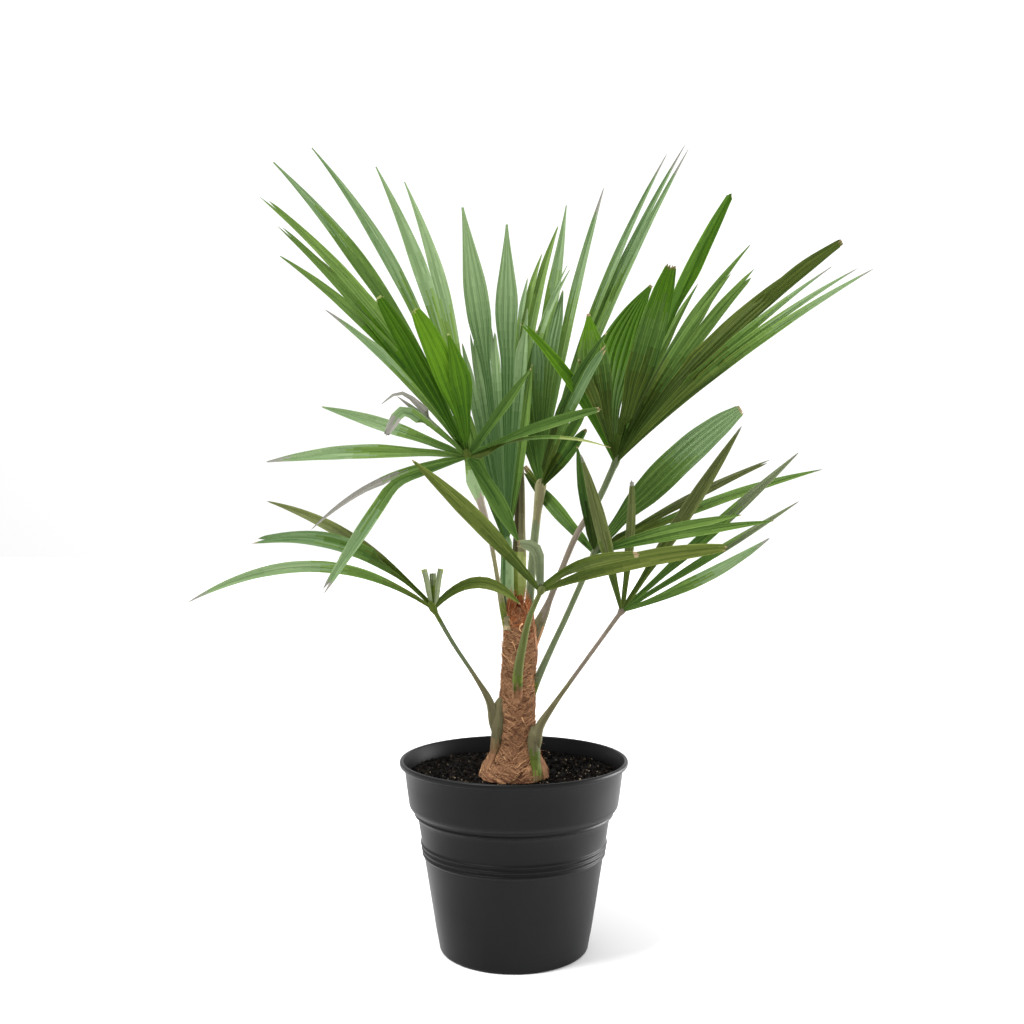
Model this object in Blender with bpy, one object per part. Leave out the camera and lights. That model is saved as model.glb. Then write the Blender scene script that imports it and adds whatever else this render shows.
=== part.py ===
"""A young windmill palm in its round nursery pot.

The pot is filled with soil, and a short fibrous trunk stands on the soil. Nine fronds rise from the
trunk. Each frond is a thin stalk and a fan of long leaflets, which are joined near the hub and parted
further out. Units are metres, +Z is up, the front of the plant faces -Y, and the origin is the middle of
the pot's underside.
"""

import bisect
import math
import random
from collections import namedtuple

import bmesh
import bpy
from mathutils import Vector

MM = 0.001
GAP = 0.3 * MM

# The pot, as radii and heights in millimetres
MOUTH_R = 105.0
RIM_R = 108.8
RIM_TOP = 179.0
RIM_FOOT = 173.8
RIM_ROUND = 2.0
COLLAR_TOP_R = 104.3
COLLAR_FOOT = 140.0
COLLAR_FOOT_R = 100.0
BODY_TOP = 126.0
BODY_FOOT_R = 71.0
BODY_TAPER = 0.163
SHOULDER_ROUND = 5.0
RIB_TOP = 103.5
RIB_PITCH = 5.0
RIB_COUNT = 3
RIB_RELIEF = 0.8
WALL = 1.3
FLOOR_TOP = 3.8
RECESS = 2.0
RECESS_SLOPE = 1.5
FOOT_ROUND = 3.0
FOOT_RING_R = 55.0
CENTRE_DISC_R = 25.0
POT_SIDES = 48
DRAIN_R = 4.5
DRAIN_CIRCLE_R = 40.0
DRAIN_COUNT = 6

# The soil, in millimetres
SOIL_TOP = 161.7
SOIL_EDGE = 166.0
SOIL_LEVEL_R = 38.0
SOIL_MOUND_R = 56.0
SOIL_SLOPE_R = 78.0
SOIL_RIM_WIDTH = 9.0
SOIL_BUMP = 1.2
SOIL_SEED = 7

# The trunk, in millimetres: its axis, and its radius at each height
TRUNK_FOOT = 162.0
TRUNK_AXIS = ((0.0, 162.0), (2.0, 196.0), (3.0, 234.0), (6.0, 282.0), (5.0, 332.0))
TRUNK_RADII = (
    (162.0, 32.0),
    (171.0, 29.5),
    (181.0, 24.5),
    (192.0, 20.5),
    (206.0, 17.8),
    (226.0, 16.8),
    (248.0, 16.2),
    (270.0, 16.4),
    (290.0, 16.2),
    (306.0, 14.8),
    (319.0, 11.5),
    (328.0, 7.0),
)
TRUNK_TOP = 332.0
TRUNK_SIDES = 18
TRUNK_LUMP = 0.035
TRUNK_SEED = 11

# The stalks and fans
STALK_SIDES = 8
STALK_STEP = 17.0
KNOB_R = 4.5
KNOB_PROFILE = ((-0.8, 0.6), (-0.45, 0.89), (0.0, 1.0), (0.5, 0.87), (0.9, 0.43))
RINGS = (5.2, 12.0, 40.0, 80.0, 120.0, 165.0)
FREE_ROWS_LONG = (0.3, 0.6, 0.84, 1.0)
FREE_ROWS_SHORT = (0.45, 0.8, 1.0)
LONG_LEAFLET = 150.0
JOIN_REACH = 0.8
JOIN_SLACK = 1.1
PLANE_SHARE = 0.5
PROFILE = ((0.0, 0.22), (0.1, 0.42), (0.25, 0.72), (0.45, 1.0), (0.65, 0.95), (0.85, 0.55), (1.0, 0.08))
BLUNT_TIP = 0.55
FOLD = 0.3
THINNEST = 3.2
THICKNESS_RATIO = 0.0105
EDGE_THICKNESS = 0.6
TIP_THICKNESS = 0.4

# Seen from the front, a leaflet points along its bearing, in degrees from +X towards +Z, and its tip
# lies at its reach. away is how far behind the hub the tip lies. bow is the mid-length bulge over the
# reach, towards the left of the way that the leaflet points. elbow is the bearing, reach and away of a
# sharp bend.
Leaflet = namedtuple("Leaflet", "bearing reach width away bow blunt elbow", defaults=(0.0, False, None))

# A frond's stalk has points x, y, z and a radius, from inside the trunk to the hub. lean is the slope of
# the fan's middle, as run towards +Y over rise, and facing is 1 where its upper side faces the front.
Frond = namedtuple("Frond", "name colour stalk lean facing leaflets")

LEFT_LOW = Frond(
    "left_low",
    (0.16, 0.24, 0.09),
    (
        (-6, -6, 188, 6.0),
        (-18, -10, 212, 5.0),
        (-23, -13, 235, 3.8),
        (-37, -18, 260, 2.3),
        (-57, -22, 291, 2.2),
        (-75, -25, 323, 2.4),
    ),
    0.1,
    1,
    (
        Leaflet(5, 81, 11, -25, 0.28),
        Leaflet(92, 37, 18, 5, 0.0, True),
        Leaflet(150, 204, 14, 95, -0.09),
        Leaflet(161, 190, 16, 40, -0.15, True),
        Leaflet(176.5, 208, 10, -75, -0.15),
    ),
)

LEFT_UPPER = Frond(
    "left_upper",
    (0.13, 0.26, 0.06),
    (
        (-2, 0, 284, 5.0),
        (-10, -3, 319, 4.4),
        (-16, -10, 354, 2.8),
        (-22, -17, 388, 2.8),
        (-29, -26, 416, 4.2),
        (-36, -38, 440, 5.2),
        (-42, -55, 464, 3.6),
    ),
    0.22,
    1,
    (
        Leaflet(-59, 89, 13, -35, 0.02),
        Leaflet(3, 128, 3.5, -25, 0.11),
        Leaflet(18.5, 124, 9, -45, 0.03, True),
        Leaflet(53.5, 96, 9, -25),
        Leaflet(103.5, 287, 15, 100, -0.04),
        Leaflet(98.5, 107, 14, -38, -0.01, True),
        Leaflet(108, 311, 15, 105, -0.035),
        Leaflet(117, 355, 13, 110, -0.054),
        Leaflet(109.5, 133, 17, -48, 0.0, True),
        Leaflet(123.5, 360, 14, 105, -0.05),
        Leaflet(128.5, 336, 18, 90, -0.055),
        Leaflet(133, 273, 12, 75, -0.062),
        Leaflet(119, 158, 16, -38, 0.01, True),
        Leaflet(134, 197, 9, 45, -0.045),
        Leaflet(139.5, 82, 5, -15, -0.02),
        Leaflet(167, 71, 12, -45, 0.0, True, (142.5, 71, -25)),
        Leaflet(149, 88, 4, -25),
        Leaflet(160.5, 149, 9, 45, -0.015),
        Leaflet(180.5, 197, 12, 65, -0.035),
        Leaflet(206, 149, 4, -45, -0.09),
        Leaflet(224.5, 173, 9, -55, 0.0, False, (199, 68, -17)),
    ),
)

CENTRE_BACK = Frond(
    "centre_back",
    (0.12, 0.27, 0.12),
    ((-2, 3, 300, 3.8), (-7, 7, 334, 3.7), (-7, 10, 358, 3.6), (-7, 13, 382, 3.6)),
    0.11,
    1,
    (
        Leaflet(85, 235, 10, 26),
        Leaflet(90, 320, 20, 37),
        Leaflet(93.7, 219, 8, 24),
        Leaflet(97.5, 340, 24, 37, -0.008),
    ),
)

CENTRE = Frond(
    "centre",
    (0.17, 0.3, 0.11),
    ((5, 3, 296, 4.2), (7, 9, 329, 4.0), (7, 17, 367, 3.9), (6, 30, 426, 3.8), (5, 40, 474, 3.6)),
    0.45,
    1,
    (
        Leaflet(75, 208, 13, 92),
        Leaflet(79.5, 289, 17, 140),
        Leaflet(83.5, 220, 14, 100),
        Leaflet(88, 188, 12, 80),
    ),
)

CENTRE_RIGHT = Frond(
    "centre_right",
    (0.14, 0.28, 0.14),
    ((8, 2, 296, 4.2), (15, 6, 329, 3.6), (18, 10, 368, 3.4), (22, 15, 406, 3.4), (26, 20, 438, 3.4)),
    0.35,
    1,
    (
        Leaflet(66, 173, 9, 70, -0.06),
        Leaflet(69, 171, 18, 40, -0.02),
        Leaflet(65.5, 408, 11, 130, 0.02),
        Leaflet(66.5, 416, 10, 160, 0.028),
        Leaflet(69, 397, 9, 148, 0.032),
        Leaflet(77.5, 341, 11, 135, 0.02),
        Leaflet(83, 210, 18, 82, 0.015),
        Leaflet(91, 163, 18, 62),
        Leaflet(128, 26, 6, 5, 0.0, True),
    ),
)

RIGHT_UPPER = Frond(
    "right_upper",
    (0.09, 0.17, 0.04),
    (
        (8, -1, 262, 4.0),
        (22, -5, 302, 3.6),
        (31, -8, 323, 2.8),
        (49, -13, 369, 2.6),
        (61, -15, 396, 2.6),
        (79, -14, 424, 2.7),
        (96, -10, 460, 2.9),
    ),
    -0.05,
    -1,
    (
        Leaflet(38, 268, 13, -90, 0.045),
        Leaflet(42.5, 259, 10, -50, 0.038),
        Leaflet(44.5, 296, 16, -20, 0.053),
        Leaflet(54, 237, 16, 20, 0.04),
        Leaflet(57.5, 275, 11, 70, 0.045),
        Leaflet(65.5, 311, 12, 90, 0.037),
        Leaflet(76, 181, 20, -30, 0.01),
        Leaflet(77, 185, 28, 60, 0.027),
        Leaflet(102, 136, 17, -50, 0.0, True),
        Leaflet(126, 153, 10, -60, -0.057),
    ),
)

RIGHT_MID = Frond(
    "right_mid",
    (0.12, 0.24, 0.07),
    ((10, -2, 222, 4.0), (23, -5, 256, 3.2), (39, -9, 292, 2.6), (50, -12, 316, 2.6), (76, -15, 375, 2.8)),
    0.0,
    1,
    (
        Leaflet(12.5, 146, 8, -115, 0.02),
        Leaflet(17, 125, 8, -95, 0.03),
        Leaflet(19, 254, 9, 90, 0.03),
        Leaflet(26, 211, 8, 95, 0.022),
        Leaflet(42.5, 214, 28, 95, 0.04, True),
        Leaflet(101, 100, 11, -45),
        Leaflet(130, 102, 13, 65),
    ),
)

RIGHT_LOW = Frond(
    "right_low",
    (0.1, 0.19, 0.05),
    (
        (8, -6, 170, 6.0),
        (20, -16, 194, 5.2),
        (24, -15, 211, 4.4),
        (36, -12, 229, 3.0),
        (50, -9, 248, 2.4),
        (82, -4, 291, 2.3),
        (103, 0, 319, 2.6),
    ),
    -0.15,
    1,
    (
        Leaflet(32, 137, 11, -110, -0.04),
        Leaflet(35, 182, 8, -80),
        Leaflet(44, 214, 12, -60),
        Leaflet(58.5, 204, 13, -40),
        Leaflet(87, 125, 8, -30),
        Leaflet(107, 152, 12, -90, -0.01),
    ),
)

FRONT = Frond(
    "front",
    (0.17, 0.24, 0.07),
    (
        (3, -8, 226, 4.6),
        (3, -19, 247, 4.8),
        (4, -26, 266, 4.4),
        (8, -42, 291, 3.6),
        (14, -70, 320, 3.0),
        (23, -100, 345, 2.8),
    ),
    -0.3,
    1,
    (
        Leaflet(16, 151, 14, -90, 0.05, True),
        Leaflet(26, 83, 10, -100, 0.1, True),
        Leaflet(116, 48, 11, -35, 0.0, True, (94, 42, -25)),
        Leaflet(133.5, 153, 14, -70, -0.027),
    ),
)

FRONDS = (LEFT_LOW, LEFT_UPPER, CENTRE_BACK, CENTRE, CENTRE_RIGHT, RIGHT_UPPER, RIGHT_MID, RIGHT_LOW, FRONT)


def clear_scene():
    for obj in list(bpy.data.objects):
        bpy.data.objects.remove(obj)


def make_material(name, colour, roughness):
    material = bpy.data.materials.new(name)
    material.use_nodes = True
    shader = material.node_tree.nodes["Principled BSDF"]
    shader.inputs["Base Color"].default_value = (*colour, 1.0)
    shader.inputs["Roughness"].default_value = roughness
    shader.inputs["Metallic"].default_value = 0.0
    return material


def add_object(name, bm, material):
    """An object in the scene from a bmesh in metres, shaded smooth except at sharp edges."""
    mesh = bpy.data.meshes.new(name)
    bm.to_mesh(mesh)
    bm.free()
    mesh.shade_smooth()
    mesh.set_sharp_from_angle(angle=math.radians(40))
    mesh.materials.append(material)
    obj = bpy.data.objects.new(name, mesh)
    bpy.context.scene.collection.objects.link(obj)
    return obj


def cut_with(obj, cutter):
    """Cuts the cutter's shape from the object, and keeps the cutter out of the model."""
    cutter.hide_render = True
    cutter.display_type = "WIRE"
    boolean = obj.modifiers.new("cut_" + cutter.name, "BOOLEAN")
    boolean.operation = "DIFFERENCE"
    boolean.object = cutter


def along(table, key):
    """Reads a table of (key, value) pairs, by straight lines between them."""
    if key <= table[0][0]:
        return table[0][1]
    for (k0, v0), (k1, v1) in zip(table, table[1:]):
        if key <= k1:
            return v0 + (v1 - v0) * (key - k0) / (k1 - k0)
    return table[-1][1]


def body_radius(z):
    return BODY_FOOT_R + BODY_TAPER * z


def inner_wall(clearance):
    """The pot's inner side from the floor to the collar's top, moved inwards by a clearance."""
    inset = WALL + clearance
    return [
        (body_radius(FLOOR_TOP) - inset, FLOOR_TOP + clearance),
        (body_radius(BODY_TOP) - inset, BODY_TOP + 3.0),
        (COLLAR_FOOT_R - inset, COLLAR_FOOT + 1.0),
        (COLLAR_TOP_R - inset, RIM_FOOT),
    ]


def ribs():
    """The ridges and valleys of the ribs, from the top one down."""
    points = [(body_radius(RIB_TOP), RIB_TOP)]
    for i in range(RIB_COUNT):
        ridge = RIB_TOP - (i + 0.5) * RIB_PITCH
        valley = RIB_TOP - (i + 1) * RIB_PITCH
        points.append((body_radius(ridge) + RIB_RELIEF, ridge))
        points.append((body_radius(valley), valley))
    return points


def pot_profile():
    """The wall's outline from the middle of the floor, up the inside, over the rim and down the outside."""
    rim = [
        (MOUTH_R, RIM_TOP - RIM_ROUND),
        ((MOUTH_R + RIM_R) / 2, RIM_TOP),
        (RIM_R, RIM_TOP - RIM_ROUND),
        (RIM_R, RIM_FOOT + RIM_ROUND),
        (RIM_R - 0.7 * RIM_ROUND, RIM_FOOT + 0.3 * RIM_ROUND),
        (COLLAR_TOP_R, RIM_FOOT - 0.2 * RIM_ROUND),
    ]
    shoulder = [
        (COLLAR_FOOT_R, COLLAR_FOOT),
        (COLLAR_FOOT_R - 0.2 * SHOULDER_ROUND, COLLAR_FOOT - SHOULDER_ROUND),
        (COLLAR_FOOT_R - 0.9 * SHOULDER_ROUND, COLLAR_FOOT - 1.9 * SHOULDER_ROUND),
        (body_radius(BODY_TOP) + 1.6, BODY_TOP + 3.4),
        (body_radius(BODY_TOP) + 0.9, BODY_TOP + 1.0),
        (body_radius(BODY_TOP), BODY_TOP),
    ]
    underside = [
        (body_radius(FOOT_ROUND), FOOT_ROUND),
        (BODY_FOOT_R - 0.25 * FOOT_ROUND, 0.25 * FOOT_ROUND),
        (BODY_FOOT_R - 0.75 * FOOT_ROUND, 0.0),
        (FOOT_RING_R, 0.0),
        (FOOT_RING_R - RECESS_SLOPE, RECESS),
        (CENTRE_DISC_R + RECESS_SLOPE, RECESS),
        (CENTRE_DISC_R, 0.0),
        (0.0, 0.0),
    ]
    return [(0.0, FLOOR_TOP)] + inner_wall(0.0) + rim + shoulder + ribs() + underside


def turn(name, profile, material):
    """Turns a profile of (radius, height) about the Z axis with a Screw modifier."""
    bm = bmesh.new()
    verts = [bm.verts.new((r * MM, 0.0, z * MM)) for r, z in profile]
    for a, b in zip(verts, verts[1:]):
        bm.edges.new((a, b))
    obj = add_object(name, bm, material)
    screw = obj.modifiers.new("turn", "SCREW")
    screw.steps = POT_SIDES
    screw.render_steps = POT_SIDES
    screw.use_merge_vertices = True
    screw.merge_threshold = 0.00001
    screw.use_smooth_shade = True
    return obj


def drain_cutter():
    """Short twelve-sided pegs, one for each drain hole."""
    bm = bmesh.new()
    for i in range(DRAIN_COUNT):
        angle = 2 * math.pi * (i + 0.5) / DRAIN_COUNT
        made = bmesh.ops.create_cone(
            bm, cap_ends=True, segments=12, radius1=DRAIN_R * MM, radius2=DRAIN_R * MM, depth=10 * MM
        )
        place = Vector((math.cos(angle), math.sin(angle), 0)) * DRAIN_CIRCLE_R * MM
        bmesh.ops.translate(bm, verts=made["verts"], vec=place + Vector((0, 0, 3 * MM)))
    return add_object("drain_holes", bm, make_material("cutter", (0.5, 0.5, 0.5), 0.5))


def make_pot():
    pot = turn("pot", pot_profile(), make_material("pot_plastic", (0.035, 0.037, 0.04), 0.45))
    cut_with(pot, drain_cutter())


def make_soil():
    """The pot's filling, clear of its wall by the gap, level under the trunk and slightly lumpy around it."""
    rng = random.Random(SOIL_SEED)
    wall = inner_wall(GAP / MM)
    wall_top = along([(z, r) for r, z in wall], SOIL_EDGE)
    rings = wall[:-1] + [
        (wall_top, SOIL_EDGE),
        (wall_top - SOIL_RIM_WIDTH, SOIL_EDGE - SOIL_BUMP / 2),
        (SOIL_SLOPE_R, (SOIL_EDGE + SOIL_TOP) / 2),
        (SOIL_MOUND_R, SOIL_TOP + SOIL_BUMP / 2),
        (SOIL_LEVEL_R, SOIL_TOP),
    ]
    lumpy = {len(rings) - 4, len(rings) - 3, len(rings) - 2}
    bm = bmesh.new()
    rows = []
    for index, (r, z) in enumerate(rings):
        row = []
        for k in range(POT_SIDES):
            angle = 2 * math.pi * k / POT_SIDES
            lift = rng.uniform(-SOIL_BUMP, SOIL_BUMP) if index in lumpy else 0.0
            place = Vector((r * math.cos(angle), r * math.sin(angle), z + lift))
            row.append(bm.verts.new(place * MM))
        rows.append(row)
    skin_rows(bm, rows)
    close_row(bm, rows[0], Vector((0, 0, rings[0][1])) * MM, False)
    close_row(bm, rows[-1], Vector((0, 0, SOIL_TOP)) * MM, True)
    add_object("soil", bm, make_material("soil", (0.025, 0.016, 0.01), 0.95))


def skin_rows(bm, rows):
    """Joins closed rows of points with quads. The rows run anticlockwise seen from the last row's end."""
    for low, high in zip(rows, rows[1:]):
        count = len(low)
        for k in range(count):
            n = (k + 1) % count
            bm.faces.new((low[k], low[n], high[n], high[k]))


def close_row(bm, row, centre, upward):
    middle = bm.verts.new(centre)
    count = len(row)
    for k in range(count):
        n = (k + 1) % count
        bm.faces.new((row[k], row[n], middle) if upward else (row[n], row[k], middle))


def trunk_mesh(clearance):
    """The trunk's stack of slightly lumpy rings, made thicker all over by a clearance."""
    rng = random.Random(TRUNK_SEED)
    bm = bmesh.new()
    rows = []
    foot, top = TRUNK_RADII[0][0], TRUNK_TOP
    axis = tuple((z, x) for x, z in TRUNK_AXIS)
    for z, radius in TRUNK_RADII:
        row = []
        for k in range(TRUNK_SIDES):
            angle = 2 * math.pi * k / TRUNK_SIDES
            r = radius * (1 + rng.uniform(-TRUNK_LUMP, TRUNK_LUMP)) + clearance
            height = z - clearance if z == foot else z
            place = Vector((along(axis, z) + r * math.cos(angle), r * math.sin(angle), height))
            row.append(bm.verts.new(place * MM))
        rows.append(row)
    skin_rows(bm, rows)
    close_row(bm, rows[0], Vector((along(axis, foot), 0, foot - clearance)) * MM, False)
    close_row(bm, rows[-1], Vector((along(axis, top), 0, top + clearance)) * MM, True)
    return bm


def make_trunk():
    bark = make_material("bark", (0.2, 0.1, 0.05), 0.9)
    add_object("trunk", trunk_mesh(0.0), bark)
    return add_object("trunk_space", trunk_mesh(GAP / MM), bark)


def smooth_route(points, step):
    """Points a step apart or less on a smooth curve through (x, y, z, radius) points, as 4-vectors."""
    keys = [Vector(p) for p in points]
    keys = [2 * keys[0] - keys[1]] + keys + [2 * keys[-1] - keys[-2]]
    route = []
    for a, b, c, d in zip(keys, keys[1:], keys[2:], keys[3:]):
        parts = max(1, math.ceil((c - b).length / step))
        for i in range(parts):
            t = i / parts
            square = (2 * a - 5 * b + 4 * c - d) * t**2
            cube = (3 * b - a - 3 * c + d) * t**3
            route.append(0.5 * (2 * b + (c - a) * t + square + cube))
    route.append(keys[-2])
    return route


def sweep(bm, points, radii, sides):
    """A closed tube along the points. Its rings turn with the path, with no twist."""
    side = None
    rows = []
    for i, point in enumerate(points):
        ahead = (points[min(i + 1, len(points) - 1)] - points[max(i - 1, 0)]).normalized()
        side = (ahead.orthogonal() if side is None else side - side.dot(ahead) * ahead).normalized()
        other = ahead.cross(side)
        row = []
        for k in range(sides):
            angle = 2 * math.pi * k / sides
            outward = math.cos(angle) * side + math.sin(angle) * other
            row.append(bm.verts.new(point + radii[i] * outward))
        rows.append(row)
    skin_rows(bm, rows)
    close_row(bm, rows[0], points[0], False)
    close_row(bm, rows[-1], points[-1], True)


def make_stalk(frond, material, trunk_space):
    """The stalk from the trunk to the hub, where it ends in a round knob that the fan sits round."""
    route = smooth_route(frond.stalk, STALK_STEP)
    hub = Vector(frond.stalk[-1][:3])
    start = (route[-1] - route[-2]).to_3d().normalized()
    points = [p.to_3d() for p in route if (p.to_3d() - hub).length > 1.5 * KNOB_R]
    radii = [p[3] for p in route[: len(points)]]
    for offset, width in KNOB_PROFILE:
        points.append(hub + start * offset * KNOB_R)
        radii.append(width * KNOB_R)
    bm = bmesh.new()
    sweep(bm, [p * MM for p in points], [r * MM for r in radii], STALK_SIDES)
    stalk = add_object("stalk_" + frond.name, bm, material)
    cut_with(stalk, trunk_space)


class Blade:
    """One leaflet's middle line, read by the distance from the hub along it."""

    STEPS = 24

    def __init__(self, hub, front, lean, leaflet):
        self.leaflet = leaflet
        self.front = front
        tip = self.place(hub, leaflet.bearing, leaflet.reach, leaflet.away)
        chord = tip - hub
        depth = PLANE_SHARE * lean * chord.z + (1 - PLANE_SHARE) * leaflet.away
        flat = Vector((chord.x, depth, chord.z))
        if leaflet.elbow:
            first = second = self.place(hub, *leaflet.elbow)
        else:
            bulge = front.cross(chord.normalized()) * leaflet.bow * chord.length * 4 / 3
            first = hub + flat / 3 + bulge
            second = tip - chord / 3 + bulge
        self.points = []
        for i in range(self.STEPS + 1):
            t = i / self.STEPS
            u = 1 - t
            near = u**3 * hub + 3 * u * u * t * first
            self.points.append(near + 3 * u * t * t * second + t**3 * tip)
        self.marks = [0.0]
        for a, b in zip(self.points, self.points[1:]):
            self.marks.append(self.marks[-1] + (b - a).length)
        self.length = self.marks[-1]

    @staticmethod
    def place(hub, bearing, reach, away):
        angle = math.radians(bearing)
        return hub + Vector((reach * math.cos(angle), away, reach * math.sin(angle)))

    def at(self, distance):
        i = min(max(bisect.bisect_left(self.marks, distance), 1), self.STEPS)
        span = self.marks[i] - self.marks[i - 1]
        return self.points[i - 1].lerp(self.points[i], (distance - self.marks[i - 1]) / span)

    def left(self, distance):
        ahead = self.at(min(distance + 1, self.length)) - self.at(max(distance - 1, 0.0))
        return self.front.cross(ahead).normalized()

    def half_width(self, distance):
        share = along(PROFILE, distance / self.length)
        if self.leaflet.blunt:
            share = max(share, BLUNT_TIP) if distance > 0.5 * self.length else share
        return share * self.leaflet.width / 2


def last_joined_ring(a, b):
    """The last ring on which two neighbouring leaflets still share their edge."""
    last = 1
    while last + 1 < len(RINGS) and RINGS[last + 1] <= JOIN_REACH * min(a.length, b.length):
        r = RINGS[last + 1]
        apart = (a.at(r) - b.at(r)).length / 2
        if apart > JOIN_SLACK * (a.half_width(r) + b.half_width(r)) / 2:
            break
        last += 1
    return last


class FanSheet:
    """The fan's middle surface, which a Solidify modifier thickens into a blade."""

    def __init__(self, frond):
        self.hub = Vector(frond.stalk[-1][:3])
        self.front = Vector((0.0, -1.0, frond.lean)).normalized()
        self.fold = FOLD * frond.facing
        self.blades = [Blade(self.hub, self.front, frond.lean, row) for row in frond.leaflets]
        self.bm = bmesh.new()
        self.weights = []

    def vert(self, place, weight):
        self.weights.append(weight)
        return self.bm.verts.new(place * MM)

    def shared_edge(self, a, b):
        """The points of the edge that two neighbours share, one for each ring up to their last joined one."""
        edge = []
        for r in RINGS[: last_joined_ring(a, b) + 1]:
            pa, pb = a.at(r), b.at(r)
            middle = ((pa - self.hub).normalized() + (pb - self.hub).normalized()).normalized()
            lift = self.fold * (pa - pb).length / 2 if r > RINGS[1] else 0.0
            edge.append(self.vert(self.hub + r * middle + lift * self.front, 1.0))
        return edge

    def edge_point(self, blade, distance, side):
        half = blade.half_width(distance)
        lift = self.fold * half if distance > RINGS[1] else 0.0
        place = blade.at(distance) + side * half * blade.left(distance) + lift * self.front
        return self.vert(place, EDGE_THICKNESS)

    def leaflet(self, blade, right_edge, left_edge):
        """The two strips of one leaflet, to the right and the left of its rib."""
        last = max(len(right_edge), len(left_edge), 2) - 1
        rows = FREE_ROWS_LONG if blade.length > LONG_LEAFLET else FREE_ROWS_SHORT
        start = RINGS[last]
        distances = list(RINGS[: last + 1]) + [start + f * (blade.length - start) for f in rows]
        before = None
        for j, distance in enumerate(distances):
            if j == len(distances) - 1 and not blade.leaflet.blunt:
                tip = self.vert(blade.at(blade.length), TIP_THICKNESS)
                self.bm.faces.new((before[1], before[2], tip))
                self.bm.faces.new((before[0], before[1], tip))
                return
            right = right_edge[j] if j < len(right_edge) else self.edge_point(blade, distance, -1)
            rib = self.vert(blade.at(distance), 1.0)
            left = left_edge[j] if j < len(left_edge) else self.edge_point(blade, distance, 1)
            row = (left, rib, right)
            if before:
                self.bm.faces.new((before[0], before[1], row[1], row[0]))
                self.bm.faces.new((before[1], before[2], row[2], row[1]))
            before = row

    def build(self):
        edges = [[]] + [self.shared_edge(a, b) for a, b in zip(self.blades, self.blades[1:])] + [[]]
        for blade, right_edge, left_edge in zip(self.blades, edges, edges[1:]):
            self.leaflet(blade, right_edge, left_edge)


def make_fan(frond, material):
    sheet = FanSheet(frond)
    sheet.build()
    longest = max(blade.length for blade in sheet.blades)
    fan = add_object("fan_" + frond.name, sheet.bm, material)
    group = fan.vertex_groups.new(name="thickness")
    for index, weight in enumerate(sheet.weights):
        group.add([index], weight, "REPLACE")
    solidify = fan.modifiers.new("thickness", "SOLIDIFY")
    solidify.thickness = max(THINNEST, THICKNESS_RATIO * longest) * MM
    solidify.offset = 0.0
    solidify.vertex_group = group.name
    solidify.use_even_offset = False


def main():
    clear_scene()
    make_pot()
    make_soil()
    trunk_space = make_trunk()
    for frond in FRONDS:
        material = make_material("leaf_" + frond.name, frond.colour, 0.5)
        make_stalk(frond, material, trunk_space)
        make_fan(frond, material)


main()
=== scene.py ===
"""Looks of a young windmill palm in its round nursery pot.

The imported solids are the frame. Each frond's blade is replaced by fine pleated leaflets, which grow by
the solid's own rule, and its stalk by one with a sheath, a tongue and colours. The trunk gets its coat
of fibres, the soil its crumbs and the pot its moulded lip and ribs. Tables are in millimetres and
degrees, as in the part's source. +Z is up, and the front of the plant faces -Y.
"""

import bisect
import math
import random
from collections import namedtuple

import bpy
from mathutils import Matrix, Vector, noise


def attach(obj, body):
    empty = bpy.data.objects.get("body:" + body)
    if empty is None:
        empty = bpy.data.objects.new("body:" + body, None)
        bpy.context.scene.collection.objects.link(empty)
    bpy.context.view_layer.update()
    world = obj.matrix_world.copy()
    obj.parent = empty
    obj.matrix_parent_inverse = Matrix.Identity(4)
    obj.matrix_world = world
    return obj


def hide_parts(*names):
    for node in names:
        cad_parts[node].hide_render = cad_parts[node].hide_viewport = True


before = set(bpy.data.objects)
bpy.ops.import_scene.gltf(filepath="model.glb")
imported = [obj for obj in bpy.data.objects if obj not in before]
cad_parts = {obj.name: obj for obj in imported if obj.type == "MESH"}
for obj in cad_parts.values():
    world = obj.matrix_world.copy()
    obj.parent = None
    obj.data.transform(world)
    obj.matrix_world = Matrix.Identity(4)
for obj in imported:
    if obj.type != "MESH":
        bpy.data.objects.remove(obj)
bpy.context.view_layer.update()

MM = 0.001
UP = Vector((0.0, 0.0, 1.0))

# The camera, level, with its focal length and the photo's width in pixels
FRAME_PX = 1024
FOCAL_PX = 1115
SENSOR = 36.0
CAMERA_AT = (-0.0018, -1.067, 0.414)

# Light. The surroundings are white, and brighter the way that SKY_TURN points. The key light is a wide
# sun from above, and the side light a low window behind the plant's right.
SKY_MIDDLE = 0.74
SKY_TURN = (0.24, 0.38, 0.35)
KEY_FROM = (-0.42, -0.3, 1.0)
KEY_STRENGTH = 2.9
KEY_SIZE = 18.0
SIDE_AT = (1.3, 0.45, 0.2)
SIDE_SIZE = (0.6, 0.36)
SIDE_POWER = 23.0

# Colour families as sRGB from dark to light. A family has this many even shades.
SHADES = 10
FAMILIES = {
    "sage": ((58, 96, 42), (178, 206, 150)),
    "leaf": ((44, 78, 20), (158, 192, 98)),
    "vivid": ((34, 70, 2), (132, 186, 36)),
    "olive": ((38, 60, 6), (158, 170, 84)),
    "moss": ((58, 70, 44), (158, 170, 128)),
    "taupe": ((86, 76, 62), (200, 186, 168)),
    "lime": ((112, 130, 40), (208, 216, 142)),
    "straw": ((104, 76, 44), (226, 206, 160)),
    "ash": ((104, 102, 92), (198, 196, 184)),
    "dusk": ((50, 60, 22), (160, 170, 104)),
    "sheath": ((66, 58, 36), (182, 178, 134)),
    "bark": ((60, 30, 18), (230, 180, 132)),
    "rust": ((90, 36, 14), (218, 140, 84)),
    "crumb": ((7, 5, 4), (172, 154, 128)),
}
# How much of its shown colour a surface holds, because the studio adds light to it
LEAF_SHARE = 0.62
BARK_SHARE = 1.0

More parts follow.
